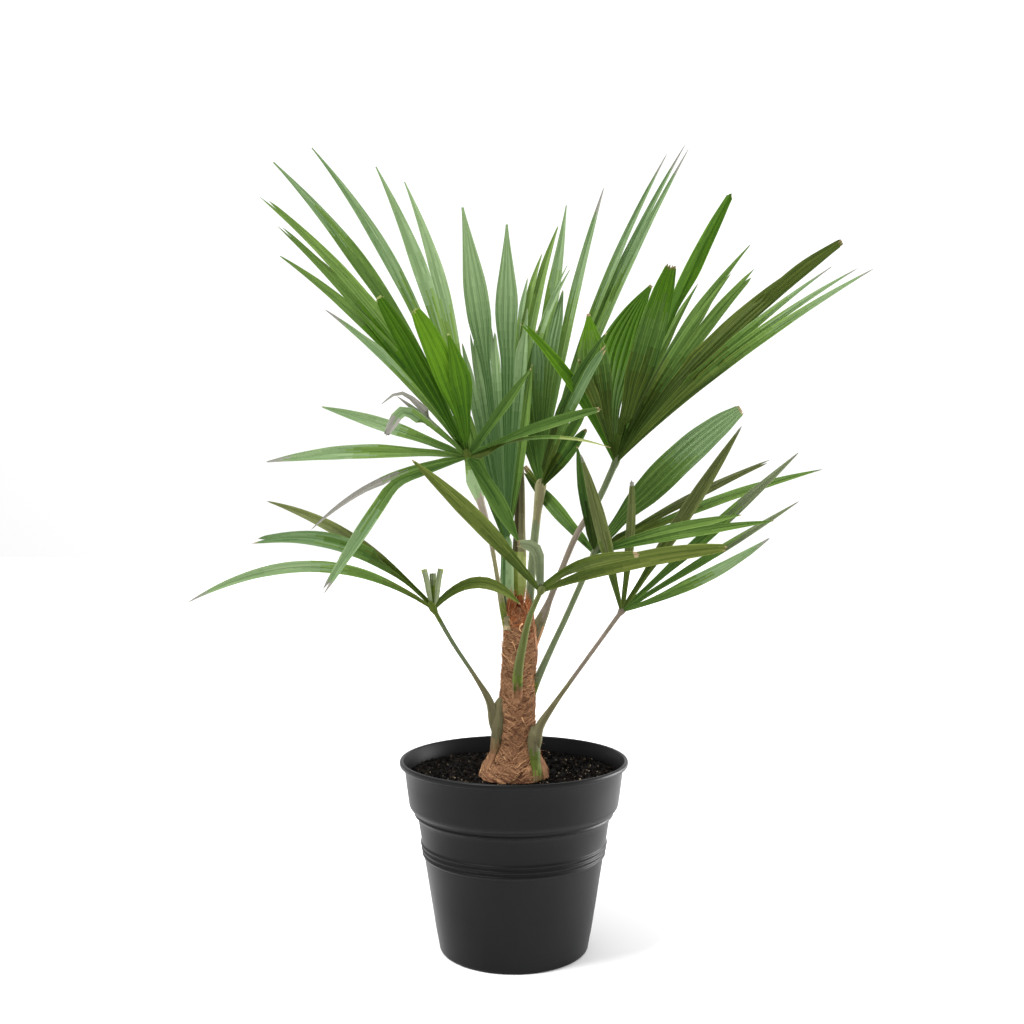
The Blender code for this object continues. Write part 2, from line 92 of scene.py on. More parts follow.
# Leaflets
START = 3.0
ROW_STEP = 9.0
TIP_ROWS = (0.955, 0.985, 1.0)
COLUMNS = (-1.0, -0.9, -0.68, -0.46, -0.24, -0.055, 0.055, 0.24, 0.46, 0.68, 0.9, 1.0)
PLEAT = 6.0
PLEATED_FROM = 17.0
FOLD = 0.4
FOLD_RUN = 12.0
JOIN_REACH = 0.8
JOIN_SLACK = 1.1
JOIN_FROM = 12.0
JOIN_STEP = 5.0
SPLIT_RUN = 26.0
WIDEN_RUN = 60.0
PLANE_SHARE = 0.5
# A leaflet's width over its widest, by the share of its length
GROWING = ((0.0, 0.22), (0.1, 0.42), (0.25, 0.72), (0.45, 1.0))
PROFILES = {
    "fine": GROWING + ((0.65, 0.95), (0.85, 0.55), (1.0, 0.08)),
    "fork": GROWING + ((0.65, 0.95), (0.85, 0.6), (1.0, 0.34)),
    "spear": ((0.0, 0.2), (0.12, 0.36), (0.3, 0.64), (0.56, 1.0), (0.64, 0.98), (0.84, 0.5), (1.0, 0.06)),
    "full": ((0.0, 0.2), (0.1, 0.4), (0.3, 0.84), (0.5, 1.0), (0.76, 1.0), (0.92, 0.36), (1.0, 0.06)),
    "cut": ((0.0, 0.22), (0.1, 0.42), (0.25, 0.74), (0.45, 1.0), (0.7, 0.97), (0.88, 0.72), (1.0, 0.34)),
    "stub": ((0.0, 0.2), (0.2, 0.3), (1.0, 1.1)),
}
PROFILE_SOFT = 0.035
POINT_FROM = 0.97
CUT_RAGGED = 3.0
TOOTH_SHARE = 0.3
TOOTH_SPREAD = (0.5, 1.2)
PRONG = 0.62
FORK_FROM = 0.93
FORK_SHORT = (0.96, 0.985)
FORK_STEPS = 4
BEND = 14.0
BLADE_THICKNESS = 0.45
GRAIN_STEP = 7.0

# Shades of a leaflet: how far whole leaflets differ, the length and depth of the soft streaks, how much
# lighter one side of a fold is painted than the other as painted light and shade, how far in the margin
# and the rib reach, the share over which the colour changes and the family shown halfway, how far that
# is staggered from strip to strip, the shade of the dry tip and how much more its length is staggered,
# and how much paler the back is.
WHOLE_SPREAD = 0.6
STREAK_RUN = 42.0
STREAK = 2.1
# Painted light and shade: one side of each fold is made lighter and the other darker by this much
FOLD_SIDE_PAINTED_SHADE = 0.42
MARGIN_FROM = 0.9
RIB_TO = 0.06
CHANGE_RUN = 0.5
CHANGE_MIDDLE = 0.13
BETWEEN = {
    ("vivid", "sage"): "leaf",
    ("olive", "sage"): "leaf",
    ("olive", "vivid"): "leaf",
    ("vivid", "olive"): "leaf",
    ("leaf", "sage"): "leaf",
    ("olive", "lime"): "leaf",
}
STAGGER = 0.1
DRY_SHADE = 6.4
DRY_STAGGER = 3
BACK_STEP = 0.8

# A tone has a family and shade near the hub, a family and shade further out, the share of the length
# where they change, and the family and length of the dry tip. The pale grey-green shades further out are
# partly the leaves' own colour and partly a painted sheen.
Tone = namedtuple("Tone", "inner shade outer outer_shade change tip dry", defaults=("straw", 3.0))
TONES = {
    "sage": Tone("leaf", 3.6, "sage", 5.6, 0.4),
    "sage_pale": Tone("vivid", 3.4, "sage", 5.8, 0.33),
    "sage_light": Tone("leaf", 4.2, "sage", 7.0, 0.33),
    "sage_deep": Tone("vivid", 2.6, "leaf", 6.0, 0.36),
    "sage_long": Tone("leaf", 3.0, "sage", 5.2, 0.62),
    "sage_grey": Tone("leaf", 4.6, "sage", 6.4, 0.36, "ash", 24.0),
    "olive_tip": Tone("vivid", 2.6, "leaf", 5.2, 0.5),
    "yellow": Tone("vivid", 3.4, "vivid", 6.2, 0.4, "lime", 3.0),
    "fresh": Tone("vivid", 2.6, "vivid", 4.4, 0.5, "lime", 3.0),
    "bright": Tone("vivid", 3.0, "vivid", 5.4, 0.5),
    "upright": Tone("leaf", 2.6, "vivid", 4.2, 0.4),
    "striped": Tone("leaf", 2.4, "sage", 5.0, 0.45, "straw", 4.0),
    "dusty": Tone("olive", 3.0, "dusk", 4.6, 0.35, "ash", 8.0),
    "dusty_mid": Tone("olive", 3.0, "leaf", 5.6, 0.35, "ash", 12.0),
    "dusty_pale": Tone("leaf", 3.4, "moss", 8.0, 0.62, "ash", 10.0),
    "low_upper": Tone("olive", 3.0, "dusk", 6.4, 0.4, "ash", 8.0),
    "low_fork": Tone("olive", 2.6, "sage", 4.6, 0.45, "straw", 8.0),
    "low_pale": Tone("olive", 3.6, "sage", 6.8, 0.3, "ash", 20.0),
    "edge": Tone("moss", 6.6, "moss", 8.6, 0.3, "lime", 2.0),
    "deep": Tone("olive", 1.6, "leaf", 2.6, 0.4),
    # Painted shade: a darker tone for leaflets that lie in shade
    "shade_leaf": Tone("leaf", 2.4, "leaf", 3.4, 0.3),
    "mid_leaf": Tone("leaf", 2.6, "leaf", 5.2, 0.3),
    "pale_leaf": Tone("leaf", 4.2, "sage", 7.2, 0.52),
    "glaucous": Tone("leaf", 2.6, "sage", 4.0, 0.5),
    "glaucous_tip": Tone("leaf", 3.2, "sage", 5.4, 0.42, "ash", 38.0),
    "pleated": Tone("sage", 2.2, "sage", 7.4, 0.6),
    "dark_olive": Tone("olive", 0.6, "olive", 2.8, 0.4),
    "mid_green": Tone("olive", 1.0, "leaf", 5.2, 0.4),
    "ripe_olive": Tone("olive", 2.4, "vivid", 4.2, 0.62),
    "vivid_leaf": Tone("olive", 1.6, "vivid", 4.2, 0.3),
    "lime_leaf": Tone("leaf", 4.6, "leaf", 7.2, 0.5),
    "fold": Tone("olive", 2.6, "sage", 4.2, 0.4, "straw", 8.0),
    "fold_dark": Tone("olive", 1.6, "leaf", 2.2, 0.4, "straw", 5.0),
    "thin_grey": Tone("olive", 2.0, "sage", 6.8, 0.58, "ash", 16.0),
    "olive": Tone("olive", 3.0, "olive", 5.2, 0.35),
    "yellowing": Tone("olive", 2.0, "vivid", 6.0, 0.66),
    "dull_grey": Tone("leaf", 3.6, "sage", 6.4, 0.4, "ash", 16.0),
    "vein": Tone("leaf", 3.0, "leaf", 5.6, 0.4),
    "dry": Tone("leaf", 4.4, "ash", 6.4, 0.4, "ash", 30.0),
    "thread": Tone("olive", 3.0, "lime", 7.0, 0.55, "straw", 8.0),
    "grey": Tone("moss", 6.0, "moss", 7.6, 0.4, "straw", 3.0),
    "husk": Tone("olive", 3.0, "olive", 5.0, 0.5, "straw", 7.0),
    "stub": Tone("olive", 1.8, "moss", 4.6, 0.6, "moss", 6.0),
}

# Seen from the front, a leaflet points along its bearing, in degrees from +X towards +Z, and its tip
# lies at its reach. away is how far behind the hub the tip lies. bow is the mid-length bulge over the
# reach, towards the left of the way that the leaflet points. elbow is the bearing, reach and away of a
# sharp bend. tip names a profile. split is how far out the leaflet parts from the next one at the latest.
Leaflet = namedtuple(
    "Leaflet", "bearing reach width away tone bow tip elbow split", defaults=(0.0, "fine", None, None)
)

# A stalk has points x, y, z and a radius, from inside the trunk to the hub, colours as (share of its
# length, family, shade), and broad as (share, width over the radius). lean is the slope of the fan's
# middle, as run towards +Y over rise, and facing is 1 where its upper side faces the front, which also
# picks the side of each fold that is painted lighter. rib and margin shift the shade along the middle
# and the edges of each leaflet, and the final field darkens the stalk's left side by a painted shade.
# leaflets has the values of one Leaflet a row.
Frond = namedtuple(
    "Frond", "name slot stalk colours broad lean facing rib margin leaflets flank", defaults=(0.0,)
)

LEFT_LOW = Frond(
    "left_low",
    "leaf_mid",
    (
        (-6, -6, 188, 6.0),
        (-18, -10, 212, 5.0),
        (-23, -13, 235, 3.8),
        (-37, -18, 260, 2.3),
        (-57, -22, 291, 2.2),
        (-75, -25, 323, 2.4),
    ),
    ((0.0, "sheath", 4.6), (0.4, "sheath", 4.6), (0.55, "moss", 4.6), (1.0, "olive", 3.4)),
    ((0.0, 1.1), (0.3, 1.0), (0.5, 0.9), (1.0, 0.9)),
    0.1,
    1,
    -1.0,
    1.6,
    (
        (5, 81, 12, -25, "olive", 0.28),
        (80, 39, 5, 3, "edge", 0.0, "stub"),
        (92, 34, 14, 5, "stub", 0.0, "stub"),
        (104, 39, 5, 3, "edge", 0.0, "stub"),
        (150, 204, 12, 95, "low_upper", -0.07),
        (161, 190, 16, 40, "low_fork", -0.15, "fork"),
        (176.5, 208, 11, -75, "low_pale", -0.17),
    ),
)

LEFT_UPPER = Frond(
    "left_upper",
    "leaf_mid",
    (
        (-2, 0, 284, 5.0),
        (-10, -3, 319, 4.4),
        (-16, -10, 354, 2.8),
        (-22, -17, 388, 2.8),
        (-29, -26, 416, 4.2),
        (-36, -38, 440, 5.2),
        (-42, -55, 464, 3.6),
    ),
    ((0.0, "olive", 6.4), (0.16, "olive", 5.8), (0.24, "sheath", 6.6), (0.38, "sheath", 7.0),
     (0.5, "taupe", 6.0), (0.64, "taupe", 6.8), (0.76, "sage", 9.0), (0.82, "sage", 8.4),
     (0.87, "leaf", 4.6), (0.92, "olive", 3.0)),
    ((0.0, 0.8), (0.2, 0.76), (0.4, 0.8), (0.6, 0.85), (0.74, 0.8), (0.86, 1.45), (1.0, 0.9)),
    0.22,
    1,
    -1.2,
    1.4,
    (
        (-59, 89, 15, -35, "shade_leaf", 0.02),
        (3, 128, 3.5, -25, "thread", 0.11),
        (18.5, 124, 10, -45, "shade_leaf", 0.03, "cut"),
        (53.5, 96, 9.5, -25, "shade_leaf", 0.0),
        (103.5, 287, 14, 100, "sage_light", -0.04, "spear"),
        (98.5, 107, 20, -38, "fresh", -0.05, "spear"),
        (108, 311, 15, 105, "sage_light", -0.035, "spear"),
        (117, 355, 13, 110, "sage_pale", -0.05, "spear"),
        (109.5, 133, 22, -48, "yellow", -0.055, "cut"),
        (123.5, 360, 16, 105, "sage_long", -0.045, "spear"),
        (128.5, 336, 12, 90, "sage_deep", -0.05, "fork"),
        (129.3, 301, 11, 86, "olive_tip", -0.035, "fork"),
        (119, 158, 18, -38, "fresh", -0.01, "cut"),
        (133, 273, 12, 75, "olive_tip", -0.055),
        (134, 197, 9, 45, "sage_grey", -0.045),
        (139.5, 82, 6, -15, "sage_grey", -0.02),
        (167, 71, 12, -45, "sage_grey", 0.0, "cut", (142.5, 71, -25)),
        (149, 88, 5, -25, "dry", 0.0, "fine", (134, 84, -20)),
        (160.5, 149, 13, 45, "sage_light", -0.015),
        (180.5, 197, 14, 65, "sage_grey", -0.035),
        (206, 149, 6, -45, "dry", -0.09),
        (224.5, 173, 13, -55, "dull_grey", 0.0, "fork", (199, 68, -17)),
    ),
)

CENTRE_BACK = Frond(
    "centre_back",
    "leaf_glaucous",
    ((-2, 3, 300, 3.8), (-6.4, 7, 334, 3.7), (-6.6, 10, 358, 3.6), (-7, 13, 382, 3.6)),
    ((0.0, "moss", 8.6), (0.6, "sage", 7.4), (1.0, "sage", 5.0)),
    ((0.0, 1.9), (0.7, 1.8), (1.0, 1.4)),
    0.11,
    1,
    -3.2,
    1.0,
    (
        (82, 180, 12, 22, "vein"),
        (85, 235, 12, 26, "pleated"),
        (90, 320, 23, 37, "pleated", 0.0, "full"),
        (93.7, 219, 14, 24, "pleated", 0.0, "fork"),
        (97.5, 340, 24, 37, "pleated", -0.008, "full"),
        (99.5, 214, 13, 28, "pleated", 0.0, "fork"),
        (102.5, 204, 14, 26, "pleated"),
        (107.5, 152, 13, 18, "vein"),
    ),
    # Painted shade on the stalk's left side
    -4.4,
)

CENTRE = Frond(
    "centre",
    "leaf_mid",
    ((5, 3, 296, 4.2), (5.6, 9, 329, 4.0), (5.2, 17, 367, 3.9), (6, 30, 426, 3.8), (5, 40, 474, 3.6)),
    ((0.0, "rust", 3.6), (0.14, "rust", 3.8), (0.19, "lime", 5.0), (0.3, "lime", 7.4),
     (0.45, "sheath", 5.8), (0.7, "sheath", 4.4), (1.0, "olive", 4.6)),
    ((0.0, 0.6), (0.12, 0.8), (0.19, 1.15), (0.27, 1.75), (0.42, 1.8), (0.6, 1.4), (1.0, 1.2)),
    0.45,
    1,
    -1.8,
    0.8,
    (
        (70, 150, 11, 50, "pale_leaf", 0.03),
        (74.5, 201, 9, 62, "pale_leaf", 0.06, "spear"),
        (75.5, 208, 6, 70, "pale_leaf", 0.05),
        (79.2, 288, 15, 140, "pale_leaf", -0.012, "spear"),
        (80.2, 259, 13, 122, "lime_leaf", 0.038),
        (83.3, 221, 11, 100, "lime_leaf", 0.05),
        (87, 189, 11, 80, "pale_leaf", 0.035),
        (91, 172, 10, 72, "pale_leaf", 0.02),
        (95, 140, 12, 55, "pale_leaf"),
    ),
    # Painted shade on the stalk's left side
    -4.4,
)

CENTRE_RIGHT = Frond(
    "centre_right",
    "leaf_glaucous",
    ((8, 2, 296, 4.2), (15, 6, 329, 3.6), (18, 10, 368, 3.4), (22, 15, 406, 3.4), (26, 20, 438, 3.4)),
    ((0.0, "moss", 4.6), (0.4, "moss", 6.2), (0.9, "sheath", 6.4), (1.0, "sheath", 6.4)),
    ((0.0, 1.2), (0.8, 1.15), (1.0, 1.6)),
    0.35,
    1,
    -2.0,
    1.6,
    (
        (51, 70, 13, -20, "deep"),
        (60, 92, 14, -24, "deep", 0.02),
        (65.5, 135, 13, -100, "fold", 0.07, "fork"),
        (67.5, 146, 12, -100, "fold_dark", 0.08),
        (66.1, 407, 9, 130, "glaucous_tip", 0.022),
        (66.8, 417, 9, 150, "glaucous_tip", 0.028),
        (68.9, 397, 9, 140, "glaucous_tip", 0.03),
        (77.6, 338, 11, 130, "glaucous_tip", 0.02),
        (83, 210, 18, 82, "glaucous", 0.015),
        (91, 163, 18, 62, "glaucous"),
        (99, 122, 14, 40, "glaucous"),
        (108, 84, 11, 22, "glaucous"),
        (128, 26, 6, 5, "husk", 0.0, "cut"),
    ),
)

RIGHT_UPPER = Frond(
    "right_upper",
    "leaf_dark",
    (
        (8, -1, 262, 4.0),
        (22, -5, 302, 3.6),
        (31, -8, 323, 2.8),
        (49, -13, 369, 2.6),
        (61, -15, 396, 2.6),
        (79, -14, 424, 2.7),
        (96, -10, 460, 2.9),
    ),
    ((0.0, "bark", 3.2), (0.14, "bark", 3.6), (0.19, "sheath", 4.4), (0.3, "taupe", 4.2),
     (0.6, "taupe", 5.2), (0.75, "moss", 5.4), (1.0, "moss", 4.6)),
    ((0.0, 1.5), (0.2, 1.7), (0.28, 1.6), (0.34, 1.1), (1.0, 1.1)),
    -0.05,
    -1,
    -1.0,
    2.6,
    (
        (37.4, 271, 9, -92, "thin_grey", 0.04),
        (39.2, 268, 8, -72, "thin_grey", 0.045),
        (42.6, 260, 9, -48, "thin_grey", 0.036, "spear"),
        (44.5, 294, 18, -20, "dark_olive", 0.05, "cut"),
        (46.6, 262, 11, -6, "dark_olive", 0.05),
        (53.8, 232, 16, 15, "mid_green", 0.035, "fork"),
        (58.5, 214, 9, 10, "mid_green", 0.03),
        (57.6, 262, 12, 60, "mid_green", 0.04, "spear"),
        (64.5, 198, 9, 40, "mid_green", 0.03),
        (65.8, 303, 17, 70, "upright", 0.022, "cut"),
        (69, 174, 9, 50, "dark_olive", 0.03),
        (74.8, 189, 27, -30, "ripe_olive", 0.004, "cut", None, 34),
        (77, 186, 40, 60, "vivid_leaf", 0.1, "spear", None, 30),
        (102, 137, 29, -45, "yellowing", 0.02, "full", None, 30),
        (112, 100, 14, -45, "dark_olive", -0.02),
        (126, 153, 11, -60, "bright", -0.057, "fork"),
    ),
)

RIGHT_MID = Frond(
    "right_mid",
    "leaf_mid",
    ((10, -2, 222, 4.0), (23, -5, 256, 3.2), (39, -9, 292, 2.6), (50, -12, 316, 2.6), (76, -15, 375, 2.8)),
    ((0.0, "olive", 4.6), (0.3, "moss", 5.8), (1.0, "moss", 4.8)),
    ((0.0, 1.2), (1.0, 1.0)),
    0.0,
    1,
    -1.2,
    2.6,
    (
        (12.5, 146, 9, -115, "mid_leaf", 0.02),
        (17, 125, 9, -95, "mid_leaf", 0.03),
        (19, 254, 10, 90, "dusty_mid", 0.03),
        (26, 211, 9, 95, "dusty", 0.022, "fork"),
        (42.5, 214, 30, 95, "striped", 0.04, "cut"),
        (101, 100, 12, -45, "deep"),
        (130, 102, 14, 65, "shade_leaf"),
    ),
)

RIGHT_LOW = Frond(
    "right_low",
    "leaf_dark",
    (
        (8, -6, 170, 6.0),
        (20, -16, 194, 5.2),
        (24, -15, 211, 4.4),
        (36, -12, 229, 3.0),
        (50, -9, 248, 2.4),
        (82, -4, 291, 2.3),
        (103, 0, 319, 2.6),
    ),
    ((0.0, "sheath", 4.8), (0.4, "sheath", 5.0), (0.6, "taupe", 4.6), (1.0, "taupe", 4.2)),
    ((0.0, 1.1), (0.3, 1.0), (0.5, 0.9), (1.0, 0.9)),
    -0.15,
    1,
    -1.2,
    1.8,
    (
        (32, 137, 12, -110, "dull_grey", -0.04),
        (35, 182, 8, -80, "dusty_pale"),
        (44, 214, 12, -60, "dusty_pale"),
        (58.5, 204, 14, -40, "dusty"),
        (87, 125, 9, -30, "dusty", -0.02, "cut"),
        (107, 152, 13, -90, "dusty", -0.01),
    ),
)

FRONT = Frond(
    "front",
    "leaf_mid",
    (
        (3, -8, 226, 4.6),
        (3, -19, 247, 4.8),
        (4, -26, 266, 4.4),
        (8, -42, 291, 3.6),
        (14, -70, 320, 3.0),
        (23, -100, 345, 2.8),
    ),
    ((0.0, "bark", 3.8), (0.1, "bark", 3.8), (0.14, "straw", 1.4), (0.18, "olive", 5.0),
     (0.28, "dusk", 5.0), (0.6, "dusk", 4.8), (1.0, "dusk", 4.2)),
    ((0.0, 1.1), (0.2, 1.05), (0.45, 1.0), (0.7, 0.9), (1.0, 0.75)),
    -0.3,
    1,
    -1.0,
    1.6,
    (
        (16, 151, 15, -90, "olive", 0.05, "cut"),
        (26, 83, 11, -100, "husk", 0.1, "cut"),
        (116, 48, 13, -35, "grey", 0.0, "cut", (94, 42, -25)),
        (133.5, 153, 15, -70, "olive", -0.027),
    ),
)

FRONDS = (LEFT_LOW, LEFT_UPPER, CENTRE_BACK, CENTRE, CENTRE_RIGHT, RIGHT_UPPER, RIGHT_MID, RIGHT_LOW, FRONT)

# Stalks. Each ends in a tongue on its fan. EDGES are the strips with the pale line, and a range of
# strips on the left takes a painted shade, by the frond's own value.
STALK_STEP = 5.0
STALK_SIDES = 14
STALK_FLAT = 0.72
STALK_FRONT_FLAT = 0.6
TONGUE = 9.0
TONGUE_WIDE = 3.4
TONGUE_SHARES = (0.0, 0.3, 0.6, 0.85, 1.0)
STALK_EDGE = 1.6
EDGES = (0, 1, 5, 6, 7, 13)
SHADED_FLANK = (0, 3)
STALK_STREAK = 0.5
STALK_STAGGER = 0.03
STALK_MOTTLE = 1.2
STALK_MOTTLE_RUN = 14.0

# The trunk, in millimetres: its axis, and its radius at each height
TRUNK_AXIS = ((162.0, 0.0), (196.0, 2.0), (234.0, 3.0), (282.0, 6.0), (332.0, 5.0))
TRUNK_RADII = (
    (162.0, 34.5),
    (171.0, 31.5),
    (181.0, 25.0),
    (192.0, 20.5),
    (206.0, 17.8),
    (226.0, 16.8),
    (248.0, 16.2),
    (270.0, 16.4),
    (290.0, 16.2),
    (305.0, 15.2),
    (314.0, 12.6),
    (320.0, 8.0),
    (323.0, 2.0),
)
TRUNK_FOOT = TRUNK_RADII[0][0]
TRUNK_TOP = TRUNK_RADII[-1][0]
TRUNK_ROWS = 115
TRUNK_COLUMNS = 120
TRUNK_SOFT = 3.0
TRUNK_LUMP = 1.1
LUMP_HEIGHT = 26.0
TRUNK_RELIEF = 0.8
TRUNK_SHADE = 3.4
RELIEF_SHADE = 3.2
SHEATH_PITCH = 21.0
SHEATH_STEP = 1.1

# Fibres. Most lie on the trunk and follow its chevrons, and some stray from it at their ends.
FIBRE_COUNT = 4300
FIBRE_FOOT = 164.0
FIBRE_RANGE = 152.0
FIBRE_LIFT = (0.15, 0.9)
FIBRE_RADIUS = (0.14, 0.32)
FIBRE_LENGTH = (6.0, 18.0)
FIBRE_TILT = (8.0, 50.0)
FIBRE_IN_LINE = 0.82
FIBRE_STRAYS = 0.12
FIBRE_STRAY = (1.5, 4.0)
FIBRE_SHADES = (3.4, 4.4, 5.4, 6.0, 6.6, 7.4)
CREAM_FIBRES = 0.16
CREAM_SHADES = (7.6, 9.0)
FOOT_TO = 186.0
FOOT_LIGHTER = 0.8
RUST_FROM = 299.0
RUST_FIBRES = 0.85

# The torn web at the trunk's top, the curls near it and the loose hairs
WEB_COUNT = 900
WEB_SPREAD = 0.72
WEB_HEIGHTS = (298.0, 318.0)
WEB_RISE = 28.0
WEB_TURN = (0.1, 0.9)
WEB_RADIUS = (4.5, 13.5)
WEB_NARROW_FROM = 312.0
WEB_NARROW = 0.85
WEB_FIBRE_RADIUS = (0.25, 0.5)
WEB_SHADES = (2.6, 8.0)
CURL_COUNT = 26
CURL_HEIGHTS = (272.0, 316.0)
CURL_SIZE = (3.0, 7.0)
CURL_TURN = (2.4, 4.4)
CURL_RADIUS = (0.22, 0.36)
CURL_SHADES = (7.0, 9.0)
HAIR_COUNT = 110
HAIR_HEIGHTS = (180.0, 318.0)
HAIR_OUT = (3.0, 9.0)
HAIR_RISE = (-8.0, 12.0)
HAIR_TURN = 0.4
HAIR_RADIUS = 0.17
HAIR_SHADE = 8.4

# Pale strands that stand out on the trunk's front: points of (x, height), radius and shade of bark
STRAND_LIFT = 1.6
FRONT_STRANDS = (
    (((-9, 322), (-6, 317), (-3, 312), (0, 307)), 0.6, 9.0),
    (((8, 309), (6, 307), (5, 304), (7, 301)), 1.1, 9.0),
    (((-10, 280), (-8, 278), (-5, 275), (-2, 270)), 0.5, 8.6),
    (((-1, 292), (1, 288), (2, 284), (0, 281), (-2, 283)), 0.5, 8.6),
    (((7, 221), (8, 218), (10, 215), (11, 212)), 0.6, 9.0),
    (((-4, 194), (-6, 191), (-9, 188), (-11, 186)), 0.4, 8.4),
    (((-8, 262), (-6, 264), (-3, 265), (0, 264)), 0.4, 8.2),
    (((3, 176), (6, 179), (9, 181), (12, 182)), 0.4, 8.4),
)

# Leaf bases that lie on the trunk: points as angle round it, height, half width and lift, and colours
# as (share of the length, family, shade)
BAND_ROWS = 14
BAND_STRIPS = 9
BAND_EDGE = 1.6
BANDS = (
    (((202, 238, 2.2, 2.6), (202, 230, 4.6, 7.4), (204, 213, 6.4, 9.2), (205, 198, 6.8, 6.6),
      (207, 185, 6.2, 3.0), (209, 172, 4.6, 0.4)),
     ((0.0, "sheath", 5.0), (0.5, "sheath", 4.8), (0.68, "straw", 2.6), (0.78, "bark", 4.4),
      (1.0, "bark", 4.6))),
    (((-28, 212, 3.6, 5.0), (-36, 204, 5.6, 8.2), (-40, 192, 6.2, 7.0), (-44, 180, 5.6, 4.2),
      (-50, 163, 5.0, 1.2)),
     ((0.0, "sheath", 5.0), (0.45, "sheath", 4.6), (0.62, "olive", 4.8), (0.78, "olive", 6.4),
      (0.88, "lime", 2.0), (0.92, "straw", 3.4), (1.0, "bark", 5.0))),
    (((-93, 250, 3.6, 1.0), (-93, 245, 4.0, 1.0), (-92, 240, 3.6, 0.7), (-92, 235, 3.0, 0.0)),
     ((0.0, "olive", 5.4), (0.4, "straw", 4.4), (0.6, "bark", 5.0), (1.0, "bark", 5.2))),
    (((-22, 186, 3.0, 0.8), (-24, 178, 5.0, 1.5), (-25, 163, 6.4, 1.2)),
     ((0.0, "bark", 4.0), (1.0, "bark", 5.2))),
    (((208, 316, 2.6, 3.0), (215, 309, 3.4, 2.4), (220, 303, 4.6, 1.8)),
     ((0.0, "sheath", 5.0), (0.5, "sheath", 5.6), (0.9, "straw", 7.6))),
    (((-24, 318, 3.0, 1.0), (-18, 304, 5.4, 1.5), (-14, 282, 4.6, 0.8)),
     ((0.0, "bark", 4.6), (1.0, "bark", 4.4))),
)

# The pot, as radii and heights in millimetres
MOUTH_R = 105.0
RIM_R = 108.8
RIM_TOP = 179.0
RIM_FOOT = 173.8
COLLAR_TOP_R = 104.3
COLLAR_MIDDLE = 157.0
COLLAR_MIDDLE_R = 102.4
COLLAR_FOOT = 140.0
COLLAR_FOOT_R = 100.0
SHOULDER_ROUND = 8.4
# The lip under the collar, as (out from the body, up from the body's top)
LIP = (
    (3.9, 6.1),
    (3.2, 5.2),
    (2.9, 4.4),
    (3.1, 3.8),
    (3.4, 3.2),
    (3.3, 2.5),
    (2.7, 1.9),
    (1.7, 1.2),
    (0.8, 0.2),
    (0.1, -1.4),
    (-0.6, -4.0),
)
BODY_TOP = 126.0
BODY_FOOT_R = 71.0
BODY_TAPER = 0.163
RIB_TOP = 103.5
RIB_PITCH = 5.0
RIB_COUNT = 3
RIB_RELIEF = 1.5
RIB_STEPS = 10
WALL = 1.3
INNER_STEP_TOP = 141.0
INNER_STEP_FOOT = 129.0
BEAD = 1.9
FLOOR_TOP = 3.8
RECESS = 2.0
FOOT_ROUND = 3.0
FOOT_RING_R = 55.0
CENTRE_DISC_R = 25.0
POT_SIDES = 180
DRAIN_R = 4.5
DRAIN_CIRCLE_R = 40.0
DRAIN_COUNT = 6
DRAIN_SIDES = 24

# The soil, in millimetres
SOIL_FOOT = 155.0
SOIL_EDGE = 166.0
SOIL_TOP = 161.7
SOIL_RINGS = 34
SOIL_SIDES = 150
SOIL_RELIEF = 1.8
SOIL_GAP = 0.3
SOIL_RISE_AT = 66.0
SOIL_RISE_RUN = 16.0
CRUMB_COUNT = 3000
CRUMB_SIZES = (0.7, 3.2)
CRUMB_SHADES = (-0.4, 1.1)
BROWN_FROM = 0.86
BROWN_SHADES = (1.6, 3.6)
SPECK_FROM = 0.94
SPECK_SHADES = (4.6, 9.0)
SPECK_SIZE = 1.3

# Half the width of the white floor, in metres
FLOOR_REACH = 9.0


def clamp(value, low, high):
    return max(low, min(high, value))


def smooth(share):
    share = clamp(share, 0.0, 1.0)
    return share * share * (3 - 2 * share)


def along(table, key):
    """Reads a table of (key, value) pairs, by straight lines between them."""
    if key <= table[0][0]:
        return table[0][1]
    for (k0, v0), (k1, v1) in zip(table, table[1:]):
        if key <= k1:
            return v0 + (v1 - v0) * (key - k0) / (k1 - k0)
    return table[-1][1]


def soft_along(table, key, reach):
    """Reads a table with its corners rounded off."""
    return sum(along(table, key + reach * step) for step in (-1, -0.5, 0, 0.5, 1)) / 5


def shares(parts):
    """Even steps from 0 to 1."""
    return [step / parts for step in range(parts + 1)]


def around(radius, angle, z):
    """A point at a distance from the Z axis."""
    return Vector((radius * math.cos(angle), radius * math.sin(angle), z))


def put(name, data):
    """A new object in the scene."""
    obj = bpy.data.objects.new(name, data)
    bpy.context.scene.collection.objects.link(obj)
    return obj


def linear(colour, share):
    """A base colour from an sRGB colour of 0 to 255."""
    channels = []
    for value in colour:
        value /= 255
        channels.append(share * (value / 12.92 if value < 0.04045 else ((value + 0.055) / 1.055) ** 2.4))
    return (*channels, 1.0)


